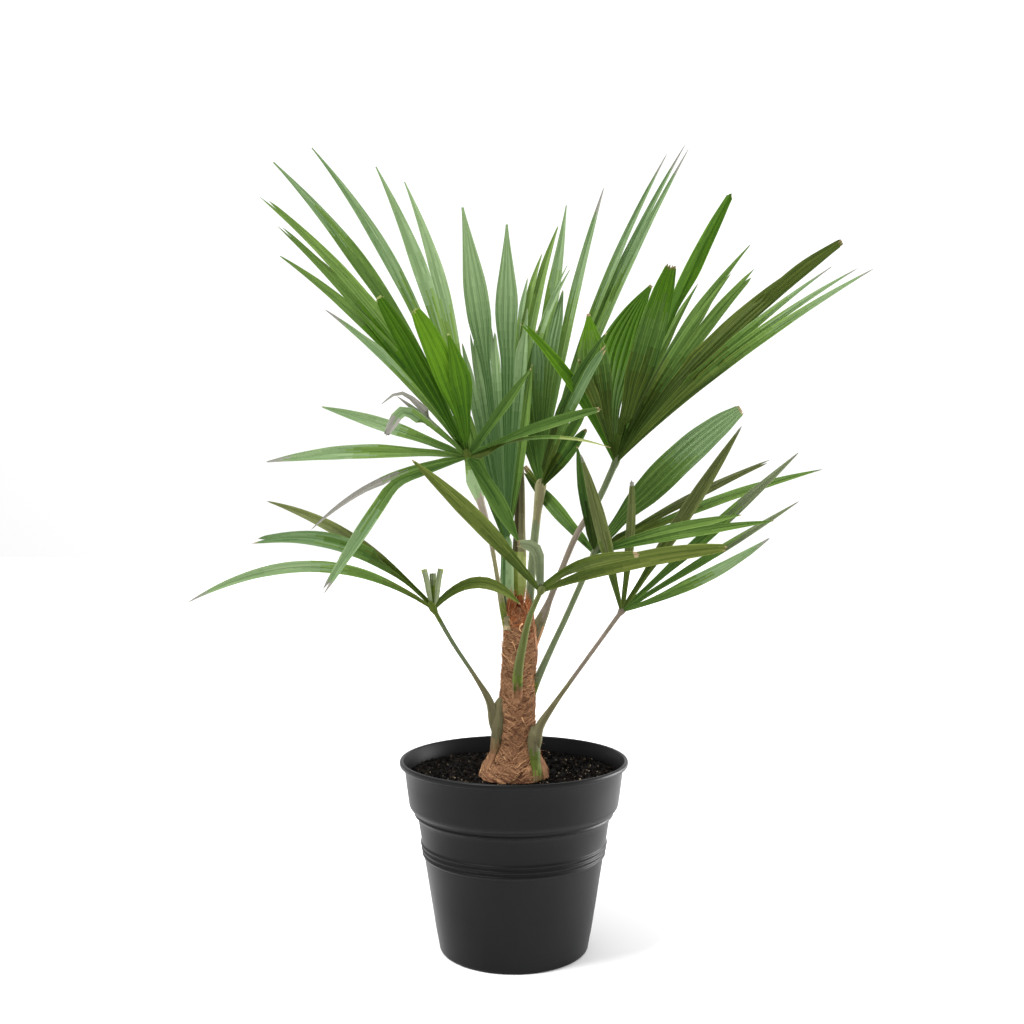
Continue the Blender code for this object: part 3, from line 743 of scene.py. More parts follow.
class Finish:
    """A material of one plain base colour, whose gloss and relief follow a fine pattern."""

    def __init__(self, name, colour, roughness, specular):
        self.material = bpy.data.materials.new(name)
        self.material.use_nodes = True
        self.nodes = self.material.node_tree.nodes
        self.links = self.material.node_tree.links
        self.shader = self.nodes["Principled BSDF"]
        self.shader.inputs["Base Color"].default_value = colour
        self.shader.inputs["Roughness"].default_value = roughness
        self.shader.inputs["Specular IOR Level"].default_value = specular

    def coordinate(self, attribute, scale):
        """Where the pattern is read: along an attribute of the mesh, or in the object's own space."""
        if attribute:
            source = self.nodes.new("ShaderNodeAttribute")
            source.attribute_name = attribute
            output = source.outputs["Vector"]
        else:
            source = self.nodes.new("ShaderNodeTexCoord")
            output = source.outputs["Object"]
        mapping = self.nodes.new("ShaderNodeMapping")
        mapping.inputs["Scale"].default_value = scale
        self.links.new(output, mapping.inputs["Vector"])
        return mapping.outputs["Vector"]

    def pattern(self, vector, detail):
        texture = self.nodes.new("ShaderNodeTexNoise")
        texture.inputs["Scale"].default_value = 1.0
        texture.inputs["Detail"].default_value = detail
        self.links.new(vector, texture.inputs["Vector"])
        return texture.outputs["Fac"]

    def gloss(self, pattern, low, high):
        ranges = self.nodes.new("ShaderNodeMapRange")
        ranges.inputs["From Min"].default_value = 0.3
        ranges.inputs["From Max"].default_value = 0.7
        ranges.inputs["To Min"].default_value = low
        ranges.inputs["To Max"].default_value = high
        self.links.new(pattern, ranges.inputs["Value"])
        self.links.new(ranges.outputs["Result"], self.shader.inputs["Roughness"])

    def relief(self, pattern, strength, distance):
        bump = self.nodes.new("ShaderNodeBump")
        bump.inputs["Strength"].default_value = strength
        bump.inputs["Distance"].default_value = distance
        self.links.new(pattern, bump.inputs["Height"])
        self.links.new(bump.outputs["Normal"], self.shader.inputs["Normal"])

    def tint(self, pattern, dark, light):
        """Mixes two near colours by the pattern, for a surface whose colours have no place."""
        ramp = self.nodes.new("ShaderNodeValToRGB")
        ramp.color_ramp.elements[0].position = 0.35
        ramp.color_ramp.elements[0].color = dark
        ramp.color_ramp.elements[1].position = 0.65
        ramp.color_ramp.elements[1].color = light
        self.links.new(pattern, ramp.inputs["Fac"])
        self.links.new(ramp.outputs["Color"], self.shader.inputs["Base Color"])


def leaf_finish(name, colour):
    """Waxy skin with fine veins that run along the leaflet."""
    finish = Finish(name, colour, roughness=0.5, specular=0.08)
    veins = finish.pattern(finish.coordinate("grain", scale=(1.5, 0.03, 1.0)), detail=3.0)
    finish.gloss(veins, low=0.42, high=0.6)
    finish.relief(veins, strength=0.35, distance=0.0005)
    return finish.material


def fibre_finish(name, colour):
    """Matt plant fibre, roughened along its length."""
    finish = Finish(name, colour, roughness=0.85, specular=0.2)
    hairs = finish.pattern(finish.coordinate("grain", scale=(1.2, 0.12, 1.0)), detail=4.0)
    finish.gloss(hairs, low=0.75, high=0.95)
    finish.relief(hairs, strength=0.6, distance=0.0008)
    return finish.material


def crumb_finish(name, colour):
    """Damp crumbs of potting mix."""
    finish = Finish(name, colour, roughness=0.9, specular=0.06)
    grit = finish.pattern(finish.coordinate(None, scale=(900.0, 900.0, 900.0)), detail=3.0)
    finish.gloss(grit, low=0.7, high=0.98)
    finish.relief(grit, strength=0.8, distance=0.0008)
    return finish.material


FINISHES = {
    "bark": (fibre_finish, BARK_SHARE),
    "rust": (fibre_finish, BARK_SHARE),
    "crumb": (crumb_finish, 1.0),
}
shades_made = {}


def shade(family, level):
    """The material of a colour family at a shade from 0, its darkest, to SHADES - 1."""
    level = int(clamp(round(level), 0, SHADES - 1))
    if (family, level) not in shades_made:
        make, share = FINISHES.get(family, (leaf_finish, LEAF_SHARE))
        dark, light = FAMILIES[family]
        mixed = [d + (l - d) * level / (SHADES - 1) for d, l in zip(dark, light)]
        shades_made[family, level] = make(f"{family}_{level}", linear(mixed, share))
    return shades_made[family, level]


def zone(colours, share):
    """Reads a list of (share, family, shade): the family of the nearest entry, and a shade between."""
    level = along(tuple((at, value) for at, _, value in colours), share)
    family = min(colours, key=lambda entry: abs(entry[0] - share))[1]
    return family, level


class Pile:
    """The points and faces of one joined piece."""

    def __init__(self):
        self.points = []
        self.grains = []
        self.faces = []
        self.slots = []
        self.materials = {}

    def point(self, place, grain=(0.0, 0.0, 0.0)):
        self.points.append(place * MM)
        self.grains.extend(grain)
        return len(self.points) - 1

    def ring(self, sides, place_at):
        """Points at even angles, each where place_at puts it."""
        return [self.point(place_at(2 * math.pi * k / sides)) for k in range(sides)]

    def face(self, corners, material):
        slot = self.materials.setdefault(material.name, (len(self.materials), material))[0]
        self.faces.append(corners)
        self.slots.append(slot)

    def skin(self, rows, material_of):
        """Joins closed rows of points with quads. They run anticlockwise seen from the last row's end."""
        for j, (low, high) in enumerate(zip(rows, rows[1:])):
            count = len(low)
            for k in range(count):
                n = (k + 1) % count
                self.face((low[k], low[n], high[n], high[k]), material_of(j, k))

    def cap(self, row, material):
        self.face(tuple(row), material)

    def mesh(self, name, crease):
        mesh = bpy.data.meshes.new(name)
        mesh.from_pydata(self.points, [], self.faces)
        for _, material in self.materials.values():
            mesh.materials.append(material)
        mesh.polygons.foreach_set("material_index", self.slots)
        mesh.shade_smooth()
        mesh.set_sharp_from_angle(angle=math.radians(crease))
        layer = mesh.attributes.new("grain", "FLOAT_VECTOR", "POINT")
        layer.data.foreach_set("vector", self.grains)
        return mesh

    def build(self, name, slot, node, crease):
        """The piece's object, which stands for a node of the frame and rides on its body."""
        obj = put(name, self.mesh(name, crease))
        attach(obj, "root")
        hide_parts(node)
        return obj


class Blade:
    """One leaflet's middle line, read by the distance from the hub along it."""

    STEPS = 24

    def __init__(self, hub, front, lean, leaflet):
        self.leaflet = leaflet
        self.front = front
        tip = self.place(hub, leaflet.bearing, leaflet.reach, leaflet.away)
        if leaflet.elbow:
            self.points = self.bent(hub, self.place(hub, *leaflet.elbow), tip)
        else:
            self.points = self.curved(hub, tip, lean)
        self.marks = [0.0]
        for a, b in zip(self.points, self.points[1:]):
            self.marks.append(self.marks[-1] + (b - a).length)
        self.length = self.marks[-1]

    def curved(self, hub, tip, lean):
        """Points of a cubic curve that leaves the hub in the fan's plane and bulges halfway by the bow."""
        chord = tip - hub
        depth = PLANE_SHARE * lean * chord.z + (1 - PLANE_SHARE) * self.leaflet.away
        bulge = self.front.cross(chord.normalized()) * self.leaflet.bow * chord.length * 4 / 3
        first = hub + Vector((chord.x, depth, chord.z)) / 3 + bulge
        second = tip - chord / 3 + bulge
        points = []
        for t in shares(self.STEPS):
            u = 1 - t
            near = u**3 * hub + 3 * u * u * t * first
            points.append(near + 3 * u * t * t * second + t**3 * tip)
        return points

    def bent(self, hub, corner, tip):
        """Points of a leaflet that is straight up to its elbow and straight again from there."""
        start = corner.lerp(hub, min(0.8, BEND / (hub - corner).length))
        end = corner.lerp(tip, min(0.8, BEND / (tip - corner).length))
        third = self.STEPS // 3
        points = [hub.lerp(start, i / third) for i in range(third)]
        for t in shares(third):
            points.append((1 - t) ** 2 * start + 2 * t * (1 - t) * corner + t * t * end)
        return points + [end.lerp(tip, (i + 1) / third) for i in range(third)]

    @staticmethod
    def place(hub, bearing, reach, away):
        angle = math.radians(bearing)
        return hub + Vector((reach * math.cos(angle), away, reach * math.sin(angle)))

    def at(self, distance):
        i = min(max(bisect.bisect_left(self.marks, distance), 1), self.STEPS)
        span = self.marks[i] - self.marks[i - 1]
        return self.points[i - 1].lerp(self.points[i], (distance - self.marks[i - 1]) / span)

    def ahead(self, distance):
        return (self.at(min(distance + 3, self.length)) - self.at(max(distance - 3, 0.0))).normalized()

    def left(self, distance):
        return self.front.cross(self.ahead(distance)).normalized()

    def half_width(self, distance):
        share = soft_along(PROFILES[self.leaflet.tip], distance / self.length, PROFILE_SOFT)
        if self.leaflet.tip == "fine" and distance > POINT_FROM * self.length:
            share = min(share, 0.04 + 6 * (1 - distance / self.length))
        return share * self.leaflet.width / 2


def join_limit(a, b):
    """How far out two neighbouring leaflets still share their edge."""
    limit = JOIN_FROM
    farthest = JOIN_REACH * min(a.length, b.length)
    if a.leaflet.split:
        farthest = min(farthest, a.leaflet.split)
    while limit + JOIN_STEP <= farthest:
        r = limit + JOIN_STEP
        apart = (a.at(r) - b.at(r)).length / 2
        if apart > JOIN_SLACK * (a.half_width(r) + b.half_width(r)) / 2:
            break
        limit = r
    return limit


class Fan:
    """A frond's blade: leaflets that share their edges near the hub and part further out."""

    def __init__(self, frond, seed):
        self.frond = frond
        self.rng = random.Random(seed)
        self.hub = Vector(frond.stalk[-1][:3])
        self.front = Vector((0.0, -1.0, frond.lean)).normalized()
        self.fold = FOLD * frond.facing
        self.blades = [Blade(self.hub, self.front, frond.lean, Leaflet(*row)) for row in frond.leaflets]
        self.limits = [join_limit(a, b) for a, b in zip(self.blades, self.blades[1:])]
        self.pile = Pile()

    def shared(self, i, r):
        """The edge between leaflets i and i + 1, at a distance from the hub."""
        pa, pb = self.blades[i].at(r), self.blades[i + 1].at(r)
        middle = ((pa - self.hub).normalized() + (pb - self.hub).normalized()).normalized()
        lift = self.fold * (pa - pb).length / 2 * min(1.0, r / FOLD_RUN)
        return self.hub + r * middle + lift * self.front

    def edge(self, i, distance, side):
        """One edge of leaflet i: side is 1 for its left and -1 for its right."""
        blade = self.blades[i]
        pair = i if side > 0 else i - 1
        joined = 0 <= pair < len(self.limits)
        if joined and distance <= self.limits[pair]:
            return self.shared(pair, distance)
        half = blade.half_width(distance)
        if joined:
            limit = self.limits[pair]
            width = (self.blades[pair].at(limit) - self.blades[pair + 1].at(limit)).length / 2
            run = SPLIT_RUN if width > half else WIDEN_RUN
            half += (width - half) * (1 - smooth((distance - limit) / run))
        lift = self.fold * half * min(1.0, distance / FOLD_RUN)
        return blade.at(distance) + side * half * blade.left(distance) + lift * self.front

    def section(self, i, distance, columns, pleats):
        """Points across leaflet i from its right edge to its left: one V, or a zigzag of narrow ones."""
        blade = self.blades[i]
        rib = blade.at(distance)
        right, left = self.edge(i, distance, -1), self.edge(i, distance, 1)
        if pleats == 1:
            return [rib.lerp(left if u > 0 else right, abs(u)) for u in columns]
        depth = self.fold * (left - right).length / 2 / pleats
        points = []
        for u in columns:
            phase = (u + 1) / 2 * pleats
            valley = 1 - abs(2 * (phase - math.floor(phase)) - 1) if u < 1 else 0.0
            points.append(right.lerp(left, (u + 1) / 2) - depth * valley * self.front)
        return points

    def row(self, i, distance, columns, pleats, ragged=()):
        """The closed ring of points round leaflet i's front and back at a distance from the hub."""
        blade = self.blades[i]
        normal = blade.ahead(distance).cross(blade.left(distance)).normalized() * BLADE_THICKNESS / 2
        points = self.section(i, distance, columns, pleats)
        half = blade.half_width(distance)
        ahead = blade.ahead(distance)
        ring = []
        for k, (u, place) in enumerate(zip(columns, points)):
            place = place + ahead * ragged[k] if ragged else place
            ring.append(self.pile.point(place + normal, (u * half, distance, i * GRAIN_STEP)))
        for k in reversed(range(len(columns))):
            place = points[k] + ahead * ragged[k] if ragged else points[k]
            ring.append(self.pile.point(place - normal, (columns[k] * half, distance, i * GRAIN_STEP)))
        return ring

    def leaflet(self, i):
        blade = self.blades[i]
        wide = blade.leaflet.width
        pleats = round(wide / PLEAT) if wide > PLEATED_FROM else 1
        columns = pleated_columns(pleats)
        body_end = FORK_FROM if blade.leaflet.tip == "fork" else 1.0
        distances = row_distances(blade.length, body_end)
        paint = Paint(self.frond, blade, columns, pleats, self.rng)
        rows = []
        for distance in distances:
            ragged = ()
            if distance == distances[-1] and blade.leaflet.tip in ("cut", "stub"):
                ragged = self.teeth(columns, pleats, CUT_RAGGED + TOOTH_SHARE * wide / pleats)
            rows.append(self.row(i, distance, columns, pleats, ragged))
        self.pile.skin(rows, lambda j, k: paint.of(distances[j], k))
        self.pile.cap(rows[0][::-1], paint.of(distances[0], 1))
        if blade.leaflet.tip == "fork":
            self.fork(i, columns, paint, PRONG, 1.0)
            self.fork(i, columns, paint, -PRONG, self.rng.uniform(*FORK_SHORT))
        else:
            self.pile.cap(rows[-1], paint.of(blade.length, 1))

    def teeth(self, columns, pleats, depth):
        """How far a torn tip falls short at each column: least on the rib of each pleat."""
        short = []
        for u in columns:
            phase = (u + 1) / 2 * pleats
            tooth = abs(2 * (phase - math.floor(phase)) - 1)
            short.append(-depth * tooth * self.rng.uniform(*TOOTH_SPREAD))
        return short

    def fork(self, i, columns, paint, target, reach):
        """One of the two prongs of a split tip, which draws in to a point on its side of the rib."""
        blade = self.blades[i]
        start = FORK_FROM * blade.length
        half = [u for u in columns if u * target > 0]
        half = [0.0] + half if target > 0 else half + [0.0]
        offset = columns.index(half[1])
        rows, distances = [], []
        for share in shares(FORK_STEPS):
            drawn = [u + (target - u) * share**1.5 for u in half]
            distances.append(start + (reach * blade.length - start) * share)
            rows.append(self.row(i, distances[-1], drawn, 1))
        self.pile.skin(rows, lambda j, k: paint.of(distances[j], min(k, len(half) - 2) + offset - 1))
        self.pile.cap(rows[-1], paint.of(blade.length, 1))

    def build(self):
        for i in range(len(self.blades)):
            self.leaflet(i)
        name = self.frond.name
        return self.pile.build("blade_" + name, self.frond.slot, "fan_" + name, crease=24)


def pleated_columns(pleats):
    """Where the points lie across a leaflet, from -1 to 1, with a thin rib in each pleat."""
    columns = []
    for p in range(pleats):
        centre = (2 * p + 1) / pleats - 1
        for u in COLUMNS:
            place = centre + u / pleats
            if not columns or place > columns[-1] + 1e-6:
                columns.append(place)
    return tuple(columns)


def row_distances(length, end):
    """Distances from the hub of a leaflet's rows, closer together at both ends."""
    distances = [START, 2 * START, 4 * START]
    count = max(4, round((end * length - distances[-1]) / ROW_STEP))
    first = distances[-1]
    for step in range(1, count + 1):
        distances.append(first + (TIP_ROWS[0] * end * length - first) * step / count)
    return distances + [share * end * length for share in TIP_ROWS[1:]]


class Paint:
    """Deals a leaflet's shades out by strip and row: pale margins, a dark rib, long soft streaks, and a
    painted light and shade that makes one side of each fold lighter than the other.
    """

    def __init__(self, frond, blade, columns, pleats, rng):
        self.blade = blade
        self.tone = TONES[blade.leaflet.tone]
        self.strips = len(columns) - 1
        self.seed = rng.uniform(0, 100)
        self.steps = []
        self.early = []
        whole = rng.uniform(-WHOLE_SPREAD, WHOLE_SPREAD)
        for k in range(self.strips):
            middle = (columns[k] + columns[k + 1]) / 2
            phase = (middle + 1) / 2 * pleats
            across = abs(2 * (phase - math.floor(phase)) - 1)
            # Painted light and shade: one side of the fold is painted lighter, the other darker
            side = 1 if (phase - math.floor(phase) - 0.5) * frond.facing < 0 else -1
            step = whole + side * FOLD_SIDE_PAINTED_SHADE
            if across > MARGIN_FROM:
                step += frond.margin
            elif across < RIB_TO:
                step += frond.rib
            self.steps.append(step)
            self.early.append(rng.uniform(-STAGGER, STAGGER))

    def of(self, distance, k):
        behind = k > self.strips
        strip = int(clamp(2 * self.strips - k if behind else k, 0, self.strips - 1))
        share = distance / self.blade.length
        left = self.blade.length - distance
        streak = noise.noise(Vector((self.seed + 1.7 * strip, distance / STREAK_RUN, 0.5))) * STREAK
        step = self.steps[strip] + streak
        if self.tone.dry and left < self.tone.dry * (1 + DRY_STAGGER * self.early[strip]):
            return shade(self.tone.tip, DRY_SHADE + step)
        blend = smooth((share - self.tone.change) / CHANGE_RUN + 0.5)
        level = self.tone.shade + (self.tone.outer_shade - self.tone.shade) * blend
        place = share - self.tone.change - self.early[strip]
        pair = (self.tone.inner, self.tone.outer)
        if abs(place) < CHANGE_MIDDLE and pair in BETWEEN:
            family = BETWEEN[pair]
        else:
            family = pair[place > 0]
        return shade(family, level + step + (BACK_STEP if behind else 0.0))


def smooth_route(points, step):
    """Points a step apart or less on a smooth curve through (x, y, z, radius) points, as 4-vectors."""
    keys = [Vector(p) for p in points]
    keys = [2 * keys[0] - keys[1]] + keys + [2 * keys[-1] - keys[-2]]
    route = []
    for a, b, c, d in zip(keys, keys[1:], keys[2:], keys[3:]):
        parts = max(1, math.ceil((c - b).length / step))
        for i in range(parts):
            t = i / parts
            square = (2 * a - 5 * b + 4 * c - d) * t**2
            cube = (3 * b - a - 3 * c + d) * t**3
            route.append(0.5 * (2 * b + (c - a) * t + square + cube))
    route.append(keys[-2])
    return route


def stalk_rings(frond):
    """Centres, half widths and half thicknesses along a stalk, which ends in a flat tongue on the fan."""
    route = smooth_route(frond.stalk, STALK_STEP)
    last = len(route) - 1
    rings = []
    for i, p in enumerate(route[:-1]):
        rings.append((p.to_3d(), p[3] * along(frond.broad, i / last), p[3] * STALK_FLAT))
    hub = route[-1].to_3d()
    ahead = (hub - route[-2].to_3d()).normalized()
    radius = route[-1][3] * frond.broad[-1][1]
    for share in TONGUE_SHARES:
        width = max(TONGUE_WIDE, radius) * math.sqrt(max(0.0, 1 - share**2)) + 0.3
        thick = route[-1][3] * STALK_FLAT * (1 - share) + 0.5
        rings.append((hub + ahead * TONGUE * share, width, thick))
    return rings


def make_stalk(frond, seed):
    """A stalk with a flatter upper side, a pale line along each edge and streaks along its length."""
    rng = random.Random(seed)
    rings = stalk_rings(frond)
    pile = Pile()
    rows = []
    total = len(rings) - 1
    for i, (centre, wide, thick) in enumerate(rings):
        ahead = (rings[min(i + 1, total)][0] - rings[max(i - 1, 0)][0]).normalized()
        side = Vector((0, -1, 0)).cross(ahead).normalized()
        front = ahead.cross(side)
        row = []
        for k in range(STALK_SIDES):
            angle = 2 * math.pi * k / STALK_SIDES
            across, out = math.cos(angle), math.sin(angle)
            out *= STALK_FRONT_FLAT if out > 0 else 1.0
            place = centre + side * wide * across + front * thick * out
            row.append(pile.point(place, (k * 1.3, i * STALK_STEP, seed)))
        rows.append(row)
    streaks = [rng.uniform(-STALK_STREAK, STALK_STREAK) for _ in range(STALK_SIDES)]
    for k in EDGES:
        streaks[k] += STALK_EDGE
    stagger = [rng.uniform(-STALK_STAGGER, STALK_STAGGER) for _ in range(STALK_SIDES)]

    def material_of(j, k):
        family, level = zone(frond.colours, j / total + stagger[k])
        place = Vector((seed + k * 0.9, j * STALK_STEP / STALK_MOTTLE_RUN, 0.5))
        mottle = noise.noise(place) * STALK_MOTTLE
        # Painted shade on the stalk's left side
        flank = frond.flank if SHADED_FLANK[0] <= k < SHADED_FLANK[1] else 0.0
        return shade(family, level + streaks[k] + mottle + flank)

    pile.skin(rows, material_of)
    pile.cap(rows[0][::-1], material_of(0, 2))
    pile.cap(rows[-1], material_of(total, 2))
    return pile.build("petiole_" + frond.name, "stalk", "stalk_" + frond.name, crease=50)


def strand(pile, places, radius, material, seed):
    """A thin three-sided fibre along some points, drawn to a point at its end."""
    rows = []
    for i, place in enumerate(places):
        ahead = (places[min(i + 1, len(places) - 1)] - places[max(i - 1, 0)]).normalized()
        side = ahead.orthogonal().normalized()
        other = ahead.cross(side)
        width = radius * (1 - 0.8 * i / (len(places) - 1))
        row = []
        for k in range(3):
            angle = 2 * math.pi * k / 3
            spoke = math.cos(angle) * side + math.sin(angle) * other
            row.append(pile.point(place + width * spoke, (k * 1.0, i * 5.0, seed)))
        rows.append(row)
    pile.skin(rows, lambda j, k: material)
    pile.cap(rows[0][::-1], material)
    pile.cap(rows[-1], material)


def trunk_radius(angle, z):
    """The trunk's bare radius: lumps, and the slanting steps of old leaf bases."""
    lump = noise.noise(around(1.3, angle, z / LUMP_HEIGHT))
    turn = (z + 9 * math.sin(2 * angle) + 4 * math.sin(3 * angle + 1)) / SHEATH_PITCH
    step = turn - math.floor(turn)
    return soft_along(TRUNK_RADII, z, TRUNK_SOFT) + TRUNK_LUMP * lump - SHEATH_STEP * step + 0.4


def trunk_place(angle, z, lift):
    radius = trunk_radius(angle, z) + lift
    return Vector((along(TRUNK_AXIS, z) + radius * math.cos(angle), radius * math.sin(angle), z))


def chevron(angle):
    """Which way fibres climb round the trunk: away from the middle of the front and of the back."""
    return 1 if math.sin(2 * angle + math.pi) > 0 else -1


def make_trunk_body():
    """The trunk under its loose fibres: fine slanting ridges that turn into chevrons."""
    rng = random.Random(21)
    pile = Pile()
    rows = []
    reliefs = []
    for j in range(TRUNK_ROWS + 1):
        z = TRUNK_FOOT + (TRUNK_TOP - TRUNK_FOOT) * j / TRUNK_ROWS
        row = []
        relief_row = []
        for k in range(TRUNK_COLUMNS):
            angle = 2 * math.pi * k / TRUNK_COLUMNS
            slant = chevron(angle)
            ridge = noise.noise(Vector((angle * 3.2, z * 0.42 - slant * angle * 4.4, slant * 9)))
            relief_row.append(ridge)
            place = trunk_place(angle, z, TRUNK_RELIEF * ridge)
            row.append(pile.point(place, (angle * 16, z, 0.0)))
        rows.append(row)
        reliefs.append(relief_row)

    def material_of(j, k):
        return shade("bark", TRUNK_SHADE + RELIEF_SHADE * reliefs[j][k] + rng.uniform(-0.7, 0.7))

    pile.skin(rows, material_of)
    pile.cap(rows[0][::-1], shade("bark", 1))
    pile.cap(rows[-1], shade("bark", 1))
    return pile.build("trunk_body", "bark", "trunk", crease=60)


def fibre_colour(rng, angle, z):
    """Red-brown with some cream strands, tan at the foot and rusty at the top."""
    level = rng.choice(FIBRE_SHADES)
    if rng.random() < CREAM_FIBRES:
        level = rng.uniform(*CREAM_SHADES)
    if z < FOOT_TO:
        level += FOOT_LIGHTER
    rusty = z > RUST_FROM + 6 * math.sin(3 * angle) and rng.random() < RUST_FIBRES
    return shade("rust" if rusty else "bark", level)


def surface_fibre(pile, rng):
    """A fibre that runs slantwise over the trunk and may stray from it at its end."""
    angle = rng.uniform(0, 2 * math.pi)
    z = FIBRE_FOOT + FIBRE_RANGE * rng.random() ** 0.9
    length = rng.uniform(*FIBRE_LENGTH)
    tilt = math.radians(rng.uniform(*FIBRE_TILT))
    slant = chevron(angle) if rng.random() < FIBRE_IN_LINE else -chevron(angle)
    stray = rng.uniform(*FIBRE_STRAY) if rng.random() < FIBRE_STRAYS else 0.0
    lift = rng.uniform(*FIBRE_LIFT)
    radius = trunk_radius(angle, z)
    places = []
    for share in shares(4):
        turned = angle + slant * length * math.cos(tilt) * share / radius
        height = clamp(z + length * share * math.sin(tilt), TRUNK_FOOT + 1, TRUNK_TOP - 1)
        bend = lift * math.sin(math.pi * (0.15 + 0.7 * share)) + stray * share**3
        places.append(trunk_place(turned, height, bend))
    strand(pile, places, rng.uniform(*FIBRE_RADIUS), fibre_colour(rng, angle, z), rng.random() * 50)


def web_fibre(pile, rng):
    """A fibre of the torn web that climbs both sides of the stalks at the trunk's top."""
    side = rng.choice((0.0, math.pi))
    angle = side + rng.gauss(0, WEB_SPREAD)
    z = rng.uniform(*WEB_HEIGHTS)
    rise = rng.uniform(0, 1) * WEB_RISE * (1 + math.cos(2 * angle)) / 2
    turn = rng.choice((-1, 1)) * rng.uniform(*WEB_TURN)
    radius = rng.uniform(*WEB_RADIUS) * (WEB_NARROW if z > WEB_NARROW_FROM else 1.0)
    places = []
    for share in shares(5):
        centre = Vector((along(TRUNK_AXIS, z), 0, z + rise * share))
        reach = radius + 1.6 * math.sin(math.pi * share) - 2.0 * share
        places.append(centre + around(1, angle + turn * share, 0) * reach)
    family = rng.choice(("rust", "rust", "rust", "bark"))
    thickness = rng.uniform(*WEB_FIBRE_RADIUS)
    strand(pile, places, thickness, shade(family, rng.uniform(*WEB_SHADES)), rng.random() * 50)


def curl(pile, rng):
    """A cream fibre that curls back over the trunk near its top."""
    angle = rng.uniform(0, 2 * math.pi)
    z = rng.uniform(*CURL_HEIGHTS)
    size = rng.uniform(*CURL_SIZE)
    turn = rng.uniform(*CURL_TURN) * rng.choice((-1, 1))
    start = rng.uniform(0, 2 * math.pi)
    places = []
    for share in shares(8):
        bearing = start + turn * share
        across = size * math.cos(bearing) * (1 - 0.4 * share)
        height = size * math.sin(bearing) * (1 - 0.4 * share)
        turned = angle + across / trunk_radius(angle, z)
        lift = 1.2 + 2.0 * math.sin(math.pi * share)
        places.append(trunk_place(turned, min(z + height, TRUNK_TOP - 1), lift))
    thickness = rng.uniform(*CURL_RADIUS)
    strand(pile, places, thickness, shade("bark", rng.uniform(*CURL_SHADES)), rng.random() * 50)


def loose_hair(pile, rng):
    """A pale hair that stands away from the trunk."""
    angle = rng.uniform(0, 2 * math.pi)
    z = rng.uniform(*HAIR_HEIGHTS)
    out = rng.uniform(*HAIR_OUT)
    rise = rng.uniform(*HAIR_RISE)
    turn = rng.uniform(-HAIR_TURN, HAIR_TURN)
    places = []
    for share in shares(5):
        place = trunk_place(angle + turn * share, z, out * share**1.4)
        places.append(place + UP * rise * share)
    strand(pile, places, HAIR_RADIUS, shade("bark", HAIR_SHADE), rng.random() * 50)


def front_strand(pile, rng, points, radius, level):
    """A strand that stands out on the front, through points of (x, height)."""
    places = []
    for x, z in points:
        reach = clamp((x - along(TRUNK_AXIS, z)) / trunk_radius(-math.pi / 2, z), -0.98, 0.98)
        places.append(trunk_place(-math.acos(reach), z, STRAND_LIFT))
    strand(pile, places, radius, shade("bark", level), rng.random() * 50)


def make_fibres():
    rng = random.Random(31)
    pile = Pile()
    for row in FRONT_STRANDS:
        front_strand(pile, rng, *row)
    counts = {surface_fibre: FIBRE_COUNT, web_fibre: WEB_COUNT, curl: CURL_COUNT, loose_hair: HAIR_COUNT}
    for kind, count in counts.items():
        for _ in range(count):
            kind(pile, rng)
    return pile.build("trunk_fibres", "bark", "trunk", crease=70)


def make_band(pile, points, colours, rng):
    """A leaf base that lies on the trunk as a curved strip, ragged at its lower end."""
    rows = []
    levels, strips = BAND_ROWS, BAND_STRIPS
    keys = tuple(range(len(points)))
    tables = [tuple(zip(keys, (row[n] for row in points))) for n in range(4)]
    for j in range(levels + 1):
        at = keys[-1] * j / levels
        angle, z, half, rise = (soft_along(table, at, 0.25) for table in tables)
        angle = math.radians(angle)
        ring = []
        for outer in (True, False):
            for k in range(strips + 1) if outer else reversed(range(strips + 1)):
                u = 2 * k / strips - 1
                drop = -rng.uniform(0, 3) if j == levels else 0.0
                turned = angle + u * half / trunk_radius(angle, z)
                lift = rise * (1 - 0.5 * u * u) + 0.3 if outer else -1.2
                height = max(z + drop, TRUNK_FOOT + 0.5)
                ring.append(pile.point(trunk_place(turned, height, lift), (u * half, z, 3.0)))
        rows.append(ring)
    streaks = [rng.uniform(-0.5, 0.5) for _ in range(2 * strips + 2)]
    for k in (0, strips - 1):
        streaks[k] += BAND_EDGE

    def material_of(j, k):
        family, level = zone(colours, j / levels + rng.uniform(-0.06, 0.06))
        return shade(family, level + streaks[k])

    pile.skin([row[::-1] for row in rows], material_of)
    pile.cap(rows[0], material_of(0, 2))
    pile.cap(rows[-1][::-1], material_of(levels, 2))


def make_bands():
    rng = random.Random(41)
    pile = Pile()
    for points, colours in BANDS:
        make_band(pile, points, colours, rng)
    return pile.build("trunk_leaf_bases", "bark", "trunk", crease=50)


def soil_height(r, angle):
    """The soil's surface: higher at the wall, with soft lumps."""
    edge = 0.5 * (1 + math.tanh((r - SOIL_RISE_AT) / SOIL_RISE_RUN))
    place = around(r, angle, 0)
    lumps = noise.noise(place / 9) + 0.6 * noise.noise(place / 3.5)
    return SOIL_TOP + (SOIL_EDGE - SOIL_TOP - 1.5) * edge + SOIL_RELIEF * lumps - 0.6


def wall_inside(z):
    """The radius of the pot's inner side at a height."""
    table = (
        (FLOOR_TOP, body_radius(FLOOR_TOP) - WALL),
        (INNER_STEP_FOOT, body_radius(BODY_TOP) - WALL),
        (INNER_STEP_TOP, COLLAR_FOOT_R - WALL),
        (RIM_FOOT, COLLAR_TOP_R - WALL),
    )
    return along(table, z)


